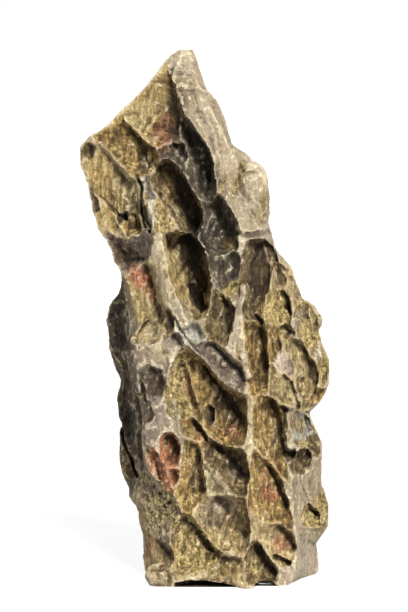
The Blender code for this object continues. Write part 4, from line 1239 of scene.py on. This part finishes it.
class Surface:
    """The surface while it is scooped: its points, how far they have sunk, their colour and roughness."""

    def __init__(self, obj, palette):
        self.mesh = obj.data
        self.palette = palette
        self.places = coordinates(self.mesh)
        self.normals = coordinates(self.mesh, "normal")
        self.moved = self.places.copy()
        self.sunk = np.zeros(len(self.places))
        self.specks = wandering(self.places, SPECK_SIZE, 1.0)[:, 0]
        self.links = links_of(self.mesh)
        slanted = self.places @ FOLD_SLANT
        broad = wandering(slanted, FOLD_SIZE, 1.0)[:, 0]
        fine = wandering(slanted, FINE_FOLD_SIZE, 1.0)[:, 1]
        self.folds = (0.5 - np.abs(broad) * 2) + FINE_FOLDS * fine
        self.tone = np.tile(palette["taupe"], (len(self.places), 1))
        self.ground = self.tone.copy()
        self.rough = np.full(len(self.places), ROUGHNESS["taupe"])

    def scoop(self, pit, drawing, flats, reach, allowed, weight, room, tree=None):
        """Sinks the allowed points that a pit covers to its floor, as far as the room behind them allows."""
        if len(pit.rim) < 3:
            return
        inside = np.flatnonzero(allowed)
        inside = inside[pit.covers(flats[inside])]
        if not len(inside):
            return
        share, floor = pit.bowl(flats[inside])
        room = room[inside]
        if tree is not None:
            room = np.minimum(room, thicknesses(drawing, self.places[inside], tree))
        most = np.maximum(room * THINNEST_SHARE - RESERVE, 0)
        uneven = 1 + FOLDS * self.folds[inside] * smooth_step(share, *FOLD_BAND)
        sinking = np.minimum((floor - reach[inside]) * weight[inside] * uneven, most)
        deeper = sinking > self.sunk[inside]
        chosen, sinking = inside[deeper], sinking[deeper]
        self.sunk[chosen] = sinking
        cover = smooth_step(share[deeper] + self.specks[chosen] * COLOUR_WANDER, *COLOUR_BAND)
        # Painted shade: the pit's colour darkens towards its deepest part.
        shade = smooth_step(share[deeper], *SHADE_BAND) * SHADE
        tone = self.palette[pit.tone] * (RIM_TONE - shade[:, None])
        self.tone[chosen] = self.ground[chosen] + (tone - self.ground[chosen]) * cover[:, None]
        self.rough[chosen] = ROUGHNESS["taupe"] + (ROUGHNESS[pit.tone] - ROUGHNESS["taupe"]) * cover
        self.moved[chosen] = drawing.moved(self.places[chosen], reach[chosen], sinking)

    def rebuild(self, obj, size):
        """The moved surface in an even grid, with the colours of the nearest old points."""
        set_coordinates(self.mesh, self.moved)
        voxel_remesh(obj, size)
        tree = KDTree(len(self.moved))
        for i, place in enumerate(self.moved):
            tree.insert(place, i)
        tree.balance()
        places = coordinates(obj.data)
        tone = np.empty((len(places), 3))
        rough = np.empty(len(places))
        for i, place in enumerate(places):
            found = tree.find_n(place, NEAREST_POINTS)
            near = [index for _, index, _ in found]
            weight = np.array([1 / (distance + POINT_BLUR) for _, _, distance in found])
            weight /= weight.sum()
            tone[i] = weight @ self.tone[near]
            rough[i] = weight @ self.rough[near]
        layer = obj.data.attributes.new("tone", "FLOAT_COLOR", "POINT")
        layer.data.foreach_set("color", np.hstack((tone, np.ones((len(tone), 1)))).ravel())
        layer = obj.data.attributes.new("rough", "FLOAT", "POINT")
        layer.data.foreach_set("value", rough)


def scoop_front(surface, main_tree, whole_tree):
    """The pits, cracks, crests, lumps, stains and painted shade that the front shows: the lobe and the
    darkest hollows are painted dark.
    """
    places = surface.places
    flats, reach = FRONT.flats(places), FRONT.reaches(places)
    facing = -(surface.normals @ FRONT.inward)
    weight = smooth_step(facing, *FRONT_BAND)
    towards = np.flatnonzero(facing > 0)
    seen = np.zeros(len(flats), bool)
    seen[towards] = ranges(FRONT, places[towards], whole_tree) > reach[towards] - SEEN_GAP
    on_main = np.zeros(len(flats), bool)
    on_main[towards] = ranges(FRONT, places[towards], main_tree) > reach[towards] - SEEN_GAP
    room = np.zeros(len(flats))
    room[seen] = thicknesses(FRONT, places[seen], whole_tree)
    wander = flats.copy()
    for size, amount in RIM_WANDERS:
        wander[seen] += wandering(places[seen], size, amount)[:, [0, 2]]
    for path, half_width in BARS.values():
        low, high = (share * half_width for share in BAR_BAND)
        weight *= smooth_step(distance_to_path(wander, path), low, high)
    stain_and_shade(surface, wander, facing > 0, ZONES)
    # Where the lobe shows past the main mass it is painted dark, as painted shade.
    surface.tone[seen & ~on_main] = surface.palette["lobe"]
    surface.ground = surface.tone.copy()
    for outline, deepest, depth, steepness, tone in FRONT_PITS.values():
        pit = Pit(FRONT, main_tree, outline, deepest, depth * DEPTH_SCALE * MM, steepness, tone)
        surface.scoop(pit, FRONT, wander, reach, seen & on_main, weight, room)
    for outline, deepest, depth, steepness, tone in LOBE_PITS.values():
        pit = Pit(FRONT, whole_tree, outline, deepest, depth * MM, steepness, tone)
        surface.scoop(pit, FRONT, wander, reach, seen, weight, room)
    raise_lines(surface, wander, reach, seen, smooth_step(facing, *FRONT_BAND))
    stain_and_shade(surface, wander, seen, STAINS_AND_SHADE)


def raise_lines(surface, flats, reach, seen, weight):
    """Sinks the cracks and small holes, and lifts the crests and lumps."""
    chosen = np.flatnonzero(seen)
    change = np.zeros(len(chosen))
    places = flats[chosen]
    for path, half_width, depth in CRACKS.values():
        near = np.clip(1 - (distance_to_path(places, path) / half_width) ** 2, 0, 1)
        change = np.maximum(change, near * depth * MM)
        # Painted shade in the crack, darker the deeper it is.
        surface.tone[chosen] *= (1 - CRACK_SHADE * near * min(depth / DARK_CRACK, 1))[:, None]
    lift = np.zeros(len(chosen))
    for path, half_width, height in CRESTS.values():
        near = np.clip(1 - distance_to_path(places, path) / half_width, 0, 1)
        lift = np.maximum(lift, near * height * MM)
    for middle, radius, height in LUMPS.values():
        near = np.clip(1 - (np.linalg.norm(places - np.array(middle), axis=1) / radius) ** 2, 0, 1)
        if height > 0:
            lift = np.maximum(lift, np.sqrt(near) * height * MM)
        else:
            change = np.maximum(change, near * -height * MM)
            # Painted shade in the small hole.
            surface.tone[chosen] *= (1 - HOLE_SHADE * near)[:, None]
    surface.sunk[chosen] += (change - lift) * weight[chosen]
    surface.moved[chosen] = FRONT.moved(surface.places[chosen], reach[chosen], surface.sunk[chosen])


def stain_and_shade(surface, flats, seen, patches_and_shade):
    """Gives soft patches of the surface the colour and roughness of another tone; the darkest patches, and
    the lobe, are painted shade.
    """
    chosen = np.flatnonzero(seen)
    places = flats[chosen]
    for middle, half_width, half_height, lean, strength, tone in patches_and_shade:
        x, z = (places - np.array(middle)).T
        away = np.hypot((x - z * lean) / half_width, z / half_height)
        share = (smooth_step(-away, *STAIN_BAND) * strength)[:, None]
        surface.tone[chosen] += (surface.palette[tone] - surface.tone[chosen]) * share
        surface.rough[chosen] += (ROUGHNESS[tone] - surface.rough[chosen]) * share[:, 0]


def cover_towards_eye(surface, behind, tree):
    """How much stone lies between each point behind the outline and the eye, evened out to its least."""
    cover = np.full(len(surface.places), COVER_CAP)
    eye = Vector(FRONT.eye)
    for i in behind:
        place = Vector(surface.places[i])
        direction = (eye - place).normalized()
        hit = tree.ray_cast(place + direction * RAY_START, direction)[0]
        cover[i] = min((hit - place).length, COVER_CAP) if hit else 0
    for _ in range(COVER_ROUNDS):
        cover = np.minimum(cover, neighbour_mean(cover[:, None], *surface.links)[:, 0])
    return cover


def scoop_sides(surface, whole_tree):
    """Pits behind the outline that the front shows, so that the outline stays."""
    away = smooth_step(surface.normals @ FRONT.inward, *BEHIND_BAND)
    lead = sum(wandering(surface.places, size, amount) for size, amount in SIDE_WANDERS)
    chance = random.Random(SEED + 1)
    behind = np.flatnonzero(away > 0)
    cover = cover_towards_eye(surface, behind, whole_tree)
    for middle, turn, outline, deepest, depth, steepness in side_pits():
        drawing = Drawing(middle, turn, 0, AIM_HEIGHT)
        facing = -(surface.normals @ drawing.inward)
        allowed = (facing > SIDE_BAND[0]) & (away > 0)
        flats = drawing.flats(surface.places + lead)
        reach = drawing.reaches(surface.places)
        weight = smooth_step(facing, *SIDE_BAND) * away
        tone = chance.choice(SIDE_TONES)
        pit = Pit(drawing, whole_tree, outline, deepest, depth * MM, steepness, tone)
        surface.scoop(pit, drawing, flats, reach, allowed, weight, cover, whole_tree)
    patches = wandering(surface.places, PATCH_SIZE, 1.0)[behind]
    for axis, tone, strength in PATCHES:
        share = (smooth_step(patches[:, axis], *PATCH_BAND) * strength)[:, None]
        surface.tone[behind] += (surface.palette[tone] - surface.tone[behind]) * share


def displace(obj, name, kind, size, strength, group, stretch=(1, 1, 1), turn=(0, 0, 0), **settings):
    """Pushes the surface in and out by a texture that an empty places, stretches and turns."""
    texture = bpy.data.textures.new(name, kind)
    texture.noise_scale = size
    for key, value in settings.items():
        setattr(texture, key, value)
    deselect()
    bpy.ops.object.empty_add(rotation=turn, scale=stretch)
    guide = bpy.context.object
    bpy.context.view_layer.update()
    modifier = obj.modifiers.new(name, "DISPLACE")
    modifier.texture = texture
    modifier.texture_coords = "OBJECT"
    modifier.texture_coords_object = guide
    modifier.strength = strength
    modifier.mid_level = 0.5
    modifier.vertex_group = group
    apply_modifiers(obj)
    bpy.data.objects.remove(guide, do_unlink=True)
    bpy.data.textures.remove(texture)


def weight_group(obj, name, weights):
    """A vertex group with these weights, in even steps."""
    group = obj.vertex_groups.new(name=name)
    steps = np.round(np.clip(weights, 0, 1) * WEIGHT_STEPS).astype(int)
    for step in range(1, WEIGHT_STEPS + 1):
        group.add(np.flatnonzero(steps == step).tolist(), step / WEIGHT_STEPS, "REPLACE")


def wall_thickness(obj):
    """How far it is through the stone, straight in from each point."""
    tree = surface_of(obj)
    found = np.zeros(len(obj.data.vertices))
    for i, (place, normal) in enumerate(zip(coordinates(obj.data), coordinates(obj.data, "normal"))):
        inward = -Vector(normal)
        hit = tree.ray_cast(Vector(place) + inward * SKIN_START, inward)[0]
        if hit:
            found[i] = (hit - Vector(place)).length
    return found


def weather(obj, shape):
    """Sway, scallops, slanted grooves and crumbs, strongest where the ground is rough."""
    rough = np.empty(len(obj.data.vertices))
    obj.data.attributes["rough"].data.foreach_get("value", rough)
    thick = smooth_step(wall_thickness(obj), *THICK_BAND)
    weight_group(obj, "all", thick)
    weight_group(obj, "rough", rough * thick)
    weight_group(obj, "crumbly", smooth_step(rough, *CRUMBLY_BAND) * thick)
    slant = (0, -GROOVE_SLANT, 0)
    displace(obj, "sway", "CLOUDS", SWAY_SIZE, shape.sway, "all", noise_depth=2)
    displace(obj, "scallops", "VORONOI", SCALLOP_SIZE, shape.scallops, "rough", SCALLOP_STRETCH, slant,
             weight_1=1.0)
    displace(obj, "striation", "CLOUDS", STRIATION_SIZE, shape.striation, "rough", STRIATION_STRETCH, slant,
             noise_depth=2)
    displace(obj, "fine striation", "CLOUDS", FINE_STRIATION_SIZE, shape.striation * FINE_STRIATION_SHARE,
             "all", FINE_STRIATION_STRETCH, slant, noise_depth=1)
    displace(obj, "crumble", "CLOUDS", CRUMB_SIZE, shape.crumble, "crumbly", noise_depth=2,
             noise_type="HARD_NOISE")


def keep_largest(obj):
    """Crumbs that came loose are dropped."""
    select_only(obj)
    bpy.ops.object.mode_set(mode="EDIT")
    shape = bmesh.from_edit_mesh(obj.data)
    seen = set()
    groups = []
    for start in shape.verts:
        if start in seen:
            continue
        group, waiting = [], [start]
        seen.add(start)
        while waiting:
            vertex = waiting.pop()
            group.append(vertex)
            for edge in vertex.link_edges:
                other = edge.other_vert(vertex)
                if other not in seen:
                    seen.add(other)
                    waiting.append(other)
        groups.append(group)
    groups.sort(key=len)
    loose = [vertex for group in groups[:-1] for vertex in group]
    bmesh.ops.delete(shape, geom=loose, context="VERTS")
    bmesh.update_edit_mesh(obj.data)
    bpy.ops.object.mode_set(mode="OBJECT")


def cut_at_ground(obj):
    """The flat underside on which the stone rests."""
    select_only(obj)
    bpy.ops.object.mode_set(mode="EDIT")
    bpy.ops.mesh.select_all(action="SELECT")
    bpy.ops.mesh.bisect(plane_co=(0, 0, 0), plane_no=(0, 0, 1), use_fill=True, clear_inner=True)
    bpy.ops.object.mode_set(mode="OBJECT")


def thin_out(obj, most):
    """Merges faces where the surface is flattest, down to the most triangles allowed."""
    count = sum(len(face.vertices) - 2 for face in obj.data.polygons)
    modifier = obj.modifiers.new("thin out", "DECIMATE")
    modifier.ratio = min(1, most / count)
    apply_modifiers(obj)


def fit_to_frame(obj):
    """The stone is moved to where the frame's box is, and cut flush with its sides and the ground."""
    places = coordinates(obj.data)
    low, high = np.array(CAD_LOW), np.array(CAD_HIGH)
    shift = (low + high - places.min(axis=0) - places.max(axis=0)) / 2
    shift[2] = 0
    gap = np.array((BOX_GAP, BOX_GAP, 0))
    set_coordinates(obj.data, np.clip(places + shift, low + gap, high - BOX_GAP))
    return shift


def neighbour_mean(values, edges, counts):
    """The mean of each point's neighbours, given the edges and how many meet there."""
    total = np.zeros_like(values)
    for axis in range(values.shape[1]):
        total[:, axis] = np.bincount(edges[:, 0], values[edges[:, 1], axis], len(values))
        total[:, axis] += np.bincount(edges[:, 1], values[edges[:, 0], axis], len(values))
    return total / counts[:, None]


def links_of(mesh):
    """The edges as pairs of points, and how many edges meet at each point."""
    edges = np.empty(len(mesh.edges) * 2, int)
    mesh.edges.foreach_get("vertices", edges)
    counts = np.maximum(np.bincount(edges, minlength=len(mesh.vertices)), 1)
    return edges.reshape(-1, 2), counts


def measure_relief(obj):
    """Two layers for the finish: how sharp each place stands out, and how deep it lies, from 0 to 1."""
    mesh = obj.data
    edges, counts = links_of(mesh)
    places, normals = coordinates(mesh), coordinates(mesh, "normal")
    smooth = places
    for rounds, name, span in RELIEF_LAYERS:
        for _ in range(rounds):
            smooth = neighbour_mean(smooth, edges, counts)
        height = np.einsum("ij,ij->i", places - smooth, normals)
        layer = mesh.attributes.new(name, "FLOAT", "POINT")
        layer.data.foreach_set("value", np.clip(0.5 + 0.5 * height / span, 0, 1))


class DRAGONSTONE_OT_stone(bpy.types.Operator):
    """Models the stone: its mass, the pits of its front, sides and back, and its weathered surface"""

    bl_idname = "dragonstone.stone"
    bl_label = "Stone"
    bl_options = {"REGISTER", "UNDO"}

    def execute(self, context):
        shape = context.scene.stone_shape
        colours = context.scene.stone_colours
        palette = {name: np.array(getattr(colours, name)) for name in ROUGHNESS}
        noise.seed_set(SEED)
        body = mass(PIECE, MAIN_LINES)
        boolean(body, [swelling(name, *values) for name, values in SWELLINGS.items()], "UNION")
        main_tree = surface_of(body)
        boolean(body, [mass("lobe", LOBE_LINES)], "UNION")
        hollows = [undercut(f"undercut {i}", *values) for i, values in enumerate(UNDERCUTS)]
        boolean(body, hollows, "DIFFERENCE")
        whole_tree = surface_of(body)
        voxel_remesh(body, shape.body_grain)
        surface = Surface(body, palette)
        scoop_front(surface, main_tree, whole_tree)
        scoop_sides(surface, whole_tree)
        surface.rebuild(body, shape.surface_grain)
        weather(body, shape)
        cut_at_ground(body)
        keep_largest(body)
        thin_out(body, shape.triangles)
        shape.offset = fit_to_frame(body)
        measure_relief(body)
        body.vertex_groups.clear()
        select_only(body)
        bpy.ops.object.shade_smooth_by_angle(angle=CREASE)
        body.data.materials.clear()
        body.data.materials.append(stone_material())
        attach(body, "root")
        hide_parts(NODE)
        return {"FINISHED"}


def link(tree, source, target):
    tree.links.new(source, target)


def new_node(tree, kind, place, **values):
    """A node at a place on the canvas, with its settings."""
    node = tree.nodes.new(kind)
    node.location = place
    for key, value in values.items():
        setattr(node, key, value)
    return node


def math_node(tree, operation, place, first, second=None):
    """The result of a sum on sockets or numbers."""
    node = new_node(tree, "ShaderNodeMath", place, operation=operation)
    for socket, value in zip(node.inputs, (first, second)):
        if isinstance(value, bpy.types.NodeSocket):
            link(tree, value, socket)
        elif value is not None:
            socket.default_value = value
    return node.outputs[0]


def ramp(tree, place, value, low, high, to_low=0.0, to_high=1.0):
    """A value brought smoothly from one range into another."""
    node = new_node(tree, "ShaderNodeMapRange", place, interpolation_type="SMOOTHSTEP")
    link(tree, value, node.inputs["Value"])
    for name, number in (("From Min", low), ("From Max", high), ("To Min", to_low), ("To Max", to_high)):
        if isinstance(number, bpy.types.NodeSocket):
            link(tree, number, node.inputs[name])
        else:
            node.inputs[name].default_value = number
    return node.outputs["Result"]


def blend(tree, place, share, first, second, kind="MIX"):
    """Two colours mixed, or multiplied, by a share."""
    node = new_node(tree, "ShaderNodeMix", place, data_type="RGBA", blend_type=kind)
    for socket, value in ((node.inputs[0], share), (node.inputs[6], first), (node.inputs[7], second)):
        if isinstance(value, bpy.types.NodeSocket):
            link(tree, value, socket)
        elif isinstance(value, (int, float)):
            socket.default_value = value
        else:
            socket.default_value = (*value, 1)
    return node.outputs[2]


def start_group(name, numbers, result):
    """An effect of its own, with a vector and named numbers going in and one value coming out."""
    tree = bpy.data.node_groups.new(name, "ShaderNodeTree")
    tree.interface.new_socket("Vector", in_out="INPUT", socket_type="NodeSocketVector")
    for label, value in numbers.items():
        socket = tree.interface.new_socket(label, in_out="INPUT", socket_type="NodeSocketFloat")
        socket.default_value = value
    tree.interface.new_socket(result, in_out="OUTPUT", socket_type="NodeSocketFloat")
    return tree, new_node(tree, "NodeGroupInput", (-700, 0)), new_node(tree, "NodeGroupOutput", (500, 0))


def mottling_group():
    """Clouds with a crumpled edge."""
    tree, ins, outs = start_group("Mottling", {"Scale": 80.0, "Detail": 6.0, "Sharpness": 0.2}, "Mask")
    warp = new_node(tree, "ShaderNodeTexNoise", (-500, -200))
    link(tree, ins.outputs["Vector"], warp.inputs["Vector"])
    link(tree, ins.outputs["Scale"], warp.inputs["Scale"])
    bend = new_node(tree, "ShaderNodeVectorMath", (-320, 0), operation="MULTIPLY_ADD")
    link(tree, warp.outputs["Color"], bend.inputs[0])
    bend.inputs[1].default_value = (CLOUD_WARP, CLOUD_WARP, CLOUD_WARP)
    link(tree, ins.outputs["Vector"], bend.inputs[2])
    cloud = new_node(tree, "ShaderNodeTexNoise", (-120, 0))
    link(tree, bend.outputs[0], cloud.inputs["Vector"])
    link(tree, ins.outputs["Scale"], cloud.inputs["Scale"])
    link(tree, ins.outputs["Detail"], cloud.inputs["Detail"])
    cloud.inputs["Roughness"].default_value = 0.62
    low = math_node(tree, "SUBTRACT", (60, -200), 0.5, ins.outputs["Sharpness"])
    high = math_node(tree, "ADD", (60, -360), 0.5, ins.outputs["Sharpness"])
    link(tree, ramp(tree, (260, 0), cloud.outputs["Fac"], low, high), outs.inputs["Mask"])
    return tree


def streaks_group():
    """Long slanted streaks."""
    tree, ins, outs = start_group("Slanted Streaks", {"Scale": 300.0, "Sharpness": 0.15}, "Mask")
    turn = new_node(tree, "ShaderNodeMapping", (-500, 0))
    turn.inputs["Rotation"].default_value = (0, GROOVE_SLANT, 0)
    turn.inputs["Scale"].default_value = (1, 1, STREAK_SQUASH)
    link(tree, ins.outputs["Vector"], turn.inputs["Vector"])
    lines = new_node(tree, "ShaderNodeTexNoise", (-280, 0))
    link(tree, turn.outputs["Vector"], lines.inputs["Vector"])
    link(tree, ins.outputs["Scale"], lines.inputs["Scale"])
    lines.inputs["Detail"].default_value = 4
    low = math_node(tree, "SUBTRACT", (-60, -200), 0.5, ins.outputs["Sharpness"])
    high = math_node(tree, "ADD", (-60, -360), 0.5, ins.outputs["Sharpness"])
    link(tree, ramp(tree, (160, 0), lines.outputs["Fac"], low, high), outs.inputs["Mask"])
    return tree


def speckles_group():
    """Small dots in a share of the cells of a grid."""
    tree, ins, outs = start_group("Speckles", {"Scale": 600.0, "Share": 0.1, "Size": 0.3}, "Mask")
    cells = new_node(tree, "ShaderNodeTexVoronoi", (-480, 0))
    link(tree, ins.outputs["Vector"], cells.inputs["Vector"])
    link(tree, ins.outputs["Scale"], cells.inputs["Scale"])
    parts = new_node(tree, "ShaderNodeSeparateColor", (-280, 160))
    link(tree, cells.outputs["Color"], parts.inputs["Color"])
    chosen = math_node(tree, "LESS_THAN", (-80, 160), parts.outputs[0], ins.outputs["Share"])
    inside = math_node(tree, "LESS_THAN", (-80, -60), cells.outputs["Distance"], ins.outputs["Size"])
    link(tree, math_node(tree, "MULTIPLY", (140, 40), chosen, inside), outs.inputs["Mask"])
    return tree


def effect(tree, group, place, vector, **numbers):
    """One of the effects, placed in a material with its own values."""
    node = new_node(tree, "ShaderNodeGroup", place)
    node.node_tree = group
    link(tree, vector, node.inputs["Vector"])
    for name, value in numbers.items():
        node.inputs[name.title()].default_value = value
    return node.outputs["Mask"]


def layer_value(tree, name, place):
    """A layer of numbers that the mesh carries."""
    return new_node(tree, "ShaderNodeAttribute", place, attribute_name=name).outputs["Fac"]


def stone_layers(tree):
    """What the finish is mixed from: the layers of the mesh, and the masks of clouds, streaks and specks."""
    place = new_node(tree, "ShaderNodeTexCoord", (-2400, 0)).outputs["Object"]
    mottling, streaks, speckles = mottling_group(), streaks_group(), speckles_group()
    rough = layer_value(tree, "rough", (-2200, 300))
    coarse = ramp(tree, (-1700, 1000), rough, low=0.05, high=0.6, to_low=0.3, to_high=0.9)
    streaked = ramp(tree, (-1600, 300), rough, low=0.05, high=0.7, to_low=0.2, to_high=0.8)
    medium = effect(tree, mottling, (-1900, 300), place, scale=260, detail=6, sharpness=0.16)
    lines = effect(tree, streaks, (-1900, -100), place, scale=560, sharpness=0.06)
    return {
        "tone": new_node(tree, "ShaderNodeAttribute", (-2200, 600), attribute_name="tone").outputs["Color"],
        "rough": rough,
        "coarse": coarse,
        "relief": layer_value(tree, "relief", (-2200, 100)),
        "hollow": layer_value(tree, "hollow", (-2200, -100)),
        "clouds": effect(tree, mottling, (-1900, 500), place, scale=70, detail=5, sharpness=0.2),
        "spots": math_node(tree, "MULTIPLY", (-1600, 900), medium, coarse),
        "grains": effect(tree, mottling, (-1900, 100), place, scale=620, detail=6, sharpness=0.06),
        "streaks": math_node(tree, "MULTIPLY", (-1400, 200), lines, streaked),
        "wide streaks": effect(tree, streaks, (-1900, -300), place, scale=150, sharpness=0.16),
        "crust": effect(tree, mottling, (-1900, -500), place, scale=640, detail=5, sharpness=0.05),
        "dots": effect(tree, speckles, (-1900, -700), place, scale=900, share=0.2, size=0.4),
    }


def ground_colour(tree, layers):
    """The tones of the pits and the skin, clouded, spotted and streaked, with grains in the rough places."""
    clouds = ramp(tree, (-1700, 800), layers["clouds"], low=0, high=1, to_low=0.0, to_high=0.5)
    base = blend(tree, (-1600, 600), clouds, layers["tone"], CLOUD_TINT, "MULTIPLY")
    spots = math_node(tree, "MULTIPLY", (-1500, 800), layers["spots"], SPOT_STRENGTH)
    base = blend(tree, (-1450, 600), spots, base, SPOT_TINT, "MULTIPLY")
    base = blend(tree, (-1250, 600), layers["streaks"], base, STREAK_TINT, "MULTIPLY")
    wide = math_node(tree, "MULTIPLY", (-1250, 0), layers["wide streaks"], WIDE_STREAK_STRENGTH)
    base = blend(tree, (-1150, 600), wide, base, WIDE_STREAK_TINT, "MULTIPLY")
    grains = math_node(tree, "MULTIPLY", (-1300, 900), layers["grains"], layers["coarse"])
    grains = math_node(tree, "MULTIPLY", (-1200, 900), grains, GRAIN_STRENGTH)
    return blend(tree, (-1080, 750), grains, base, GRAIN_TINT, "MULTIPLY")


def weathered_and_shaded_colour(tree, layers, base):
    """The ground with its yellow crust, dark dots, pale crests as painted highlight and partly wear, and
    painted shade in the creases and hollows.
    """
    rough, relief = layers["rough"], layers["relief"]
    crumbs = ramp(tree, (-1300, -500), rough, low=0.5, high=1.0, to_low=0.0, to_high=0.5)
    crust = math_node(tree, "MULTIPLY", (-1200, -300), layers["crust"], crumbs)
    base = blend(tree, (-1000, 600), crust, base, CRUST_COLOUR)
    dotted = ramp(tree, (-1150, -100), rough, low=0.2, high=0.8, to_low=0.0, to_high=0.55)
    dots = math_node(tree, "MULTIPLY", (-1000, -100), layers["dots"], dotted)
    base = blend(tree, (-900, 600), dots, base, DOT_COLOUR)
    # Painted highlight along the sharpest crests, partly pale wear.
    crests = ramp(tree, (-1200, -700), relief, low=0.76, high=1.0, to_low=0.0, to_high=0.7)
    broken = ramp(tree, (-1200, -900), layers["grains"], low=0, high=1, to_low=0.35, to_high=0.9)
    crests = math_node(tree, "MULTIPLY", (-1000, -700), crests, broken)
    base = blend(tree, (-750, 600), crests, base, CREST_HIGHLIGHT_AND_WEAR)
    # Painted shade in the creases.
    creases = ramp(tree, (-1000, -900), relief, low=0.40, high=0.05, to_low=0.0, to_high=0.6)
    base = blend(tree, (-600, 600), creases, base, CREASE_SHADE_TINT, "MULTIPLY")
    # Painted shade in the hollows, darker the deeper they lie.
    depths = ramp(tree, (-1000, -1100), layers["hollow"], low=0.38, high=0.0, to_low=0.0, to_high=0.6)
    return blend(tree, (-450, 600), depths, base, HOLLOW_SHADE_TINT, "MULTIPLY")


def fine_bump(tree, layers):
    """The normal of the finest grit, grooves and spots."""
    gritty = ramp(tree, (-900, -300), layers["rough"], low=0, high=1, to_low=0.25, to_high=1.0)
    grit = math_node(tree, "MULTIPLY", (-700, -200), layers["grains"], gritty)
    grooves = math_node(tree, "MULTIPLY", (-700, -400), layers["streaks"], GROOVE_HEIGHT)
    spots = math_node(tree, "MULTIPLY", (-500, -400), layers["spots"], SPOT_HEIGHT)
    height = math_node(tree, "ADD", (-500, -200), grit, grooves)
    height = math_node(tree, "ADD", (-350, -200), height, spots)
    bump = new_node(tree, "ShaderNodeBump", (-200, -200))
    bump.inputs["Strength"].default_value = BUMP_STRENGTH
    bump.inputs["Distance"].default_value = BUMP_HEIGHT
    link(tree, height, bump.inputs["Height"])
    return bump.outputs["Normal"]


def stone_material():
    """Weathered clay stone, from matt to dusty by how crumbly the ground is, with painted shade in its
    creases and hollows and painted highlight on its crests.
    """
    material = bpy.data.materials.new("weathered clay stone")
    material.use_nodes = True
    tree = material.node_tree
    shader = tree.nodes["Principled BSDF"]
    layers = stone_layers(tree)
    colour_out = weathered_and_shaded_colour(tree, layers, ground_colour(tree, layers))
    roughness = ramp(tree, (-450, 200), layers["rough"], low=0, high=1, to_low=0.62, to_high=0.95)
    link(tree, colour_out, shader.inputs["Base Color"])
    link(tree, roughness, shader.inputs["Roughness"])
    link(tree, fine_bump(tree, layers), shader.inputs["Normal"])
    shader.inputs["Specular IOR Level"].default_value = 0.3
    return material


class DRAGONSTONE_OT_stage(bpy.types.Operator):
    """Sets up the pale floor, the soft studio light and the camera"""

    bl_idname = "dragonstone.stage"
    bl_label = "Stage"
    bl_options = {"REGISTER", "UNDO"}

    def execute(self, context):
        stage = context.scene.stage_settings
        add_floor(stage)
        add_lights(stage)
        add_camera(Vector(context.scene.stone_shape.offset))
        return {"FINISHED"}


def add_floor(stage):
    """A pale floor that glows a little, so that it stays as plain as the paper of a photograph."""
    deselect()
    bpy.ops.mesh.primitive_plane_add(size=FLOOR_SIZE)
    floor = bpy.context.object
    floor.name = "floor"
    material = bpy.data.materials.new("pale floor")
    material.use_nodes = True
    shader = material.node_tree.nodes["Principled BSDF"]
    shader.inputs["Base Color"].default_value = (*stage.floor, 1)
    shader.inputs["Roughness"].default_value = 0.9
    shader.inputs["Emission Color"].default_value = (1, 1, 1, 1)
    shader.inputs["Emission Strength"].default_value = FLOOR_GLOW
    floor.data.materials.append(material)


def add_lights(stage):
    """A soft key light from the upper right and an even light from all round."""
    deselect()
    bpy.ops.object.light_add(type="SUN")
    key = bpy.context.object
    key.name = "key light"
    key.data.energy = stage.key_power
    key.data.angle = stage.key_size
    key.rotation_euler = Vector(KEY_DIRECTION).to_track_quat("-Z", "Y").to_euler()
    world = bpy.data.worlds.new("studio")
    bpy.context.scene.world = world
    world.use_nodes = True
    tree = world.node_tree
    background = tree.nodes["Background"]
    background.inputs["Color"].default_value = (1, 1, 1, 1)
    seen = new_node(tree, "ShaderNodeLightPath", (-400, 0)).outputs["Is Camera Ray"]
    link(tree, ramp(tree, (-200, 0), seen, 0, 1, stage.fill, 1.0), background.inputs["Strength"])
    bpy.context.scene.view_settings.view_transform = "Standard"


def add_camera(offset):
    """The camera stands where the front is drawn from."""
    deselect()
    bpy.ops.object.camera_add(location=Vector(FRONT.eye) + offset)
    camera = bpy.context.object
    camera.name = "camera"
    camera.rotation_euler = Vector(FRONT.inward).to_track_quat("-Z", "Y").to_euler()
    camera.data.sensor_width = SENSOR_HEIGHT
    camera.data.lens = SENSOR_HEIGHT * EYE_DISTANCE / PICTURE_HEIGHT
    bpy.context.scene.camera = camera


class DRAGONSTONE_PT_panel(bpy.types.Panel):
    """The stone, its stage and all their settings"""

    bl_label = "Dragon Stone"
    bl_idname = "DRAGONSTONE_PT_panel"
    bl_space_type = "VIEW_3D"
    bl_region_type = "UI"
    bl_category = "Dragon Stone"

    def draw(self, context):
        layout = self.layout
        for operator in OPERATORS:
            layout.operator(operator.bl_idname)
        for group in (context.scene.stone_shape, context.scene.stone_colours, context.scene.stage_settings):
            for name in group.bl_rna.properties.keys():
                if name not in ("rna_type", "name"):
                    layout.prop(group, name)


OPERATORS = (DRAGONSTONE_OT_stone, DRAGONSTONE_OT_stage)

CLASSES = (StoneShape, StoneColours, StageSettings, *OPERATORS, DRAGONSTONE_PT_panel)


def register():
    for item in CLASSES:
        bpy.utils.register_class(item)
    bpy.types.Scene.stone_shape = bpy.props.PointerProperty(type=StoneShape)
    bpy.types.Scene.stone_colours = bpy.props.PointerProperty(type=StoneColours)
    bpy.types.Scene.stage_settings = bpy.props.PointerProperty(type=StageSettings)


def unregister():
    del bpy.types.Scene.stage_settings
    del bpy.types.Scene.stone_colours
    del bpy.types.Scene.stone_shape
    for item in reversed(CLASSES):
        bpy.utils.unregister_class(item)


def main():
    register()
    bpy.ops.dragonstone.stone()
    bpy.ops.dragonstone.stage()


if __name__ == "__main__":
    main()
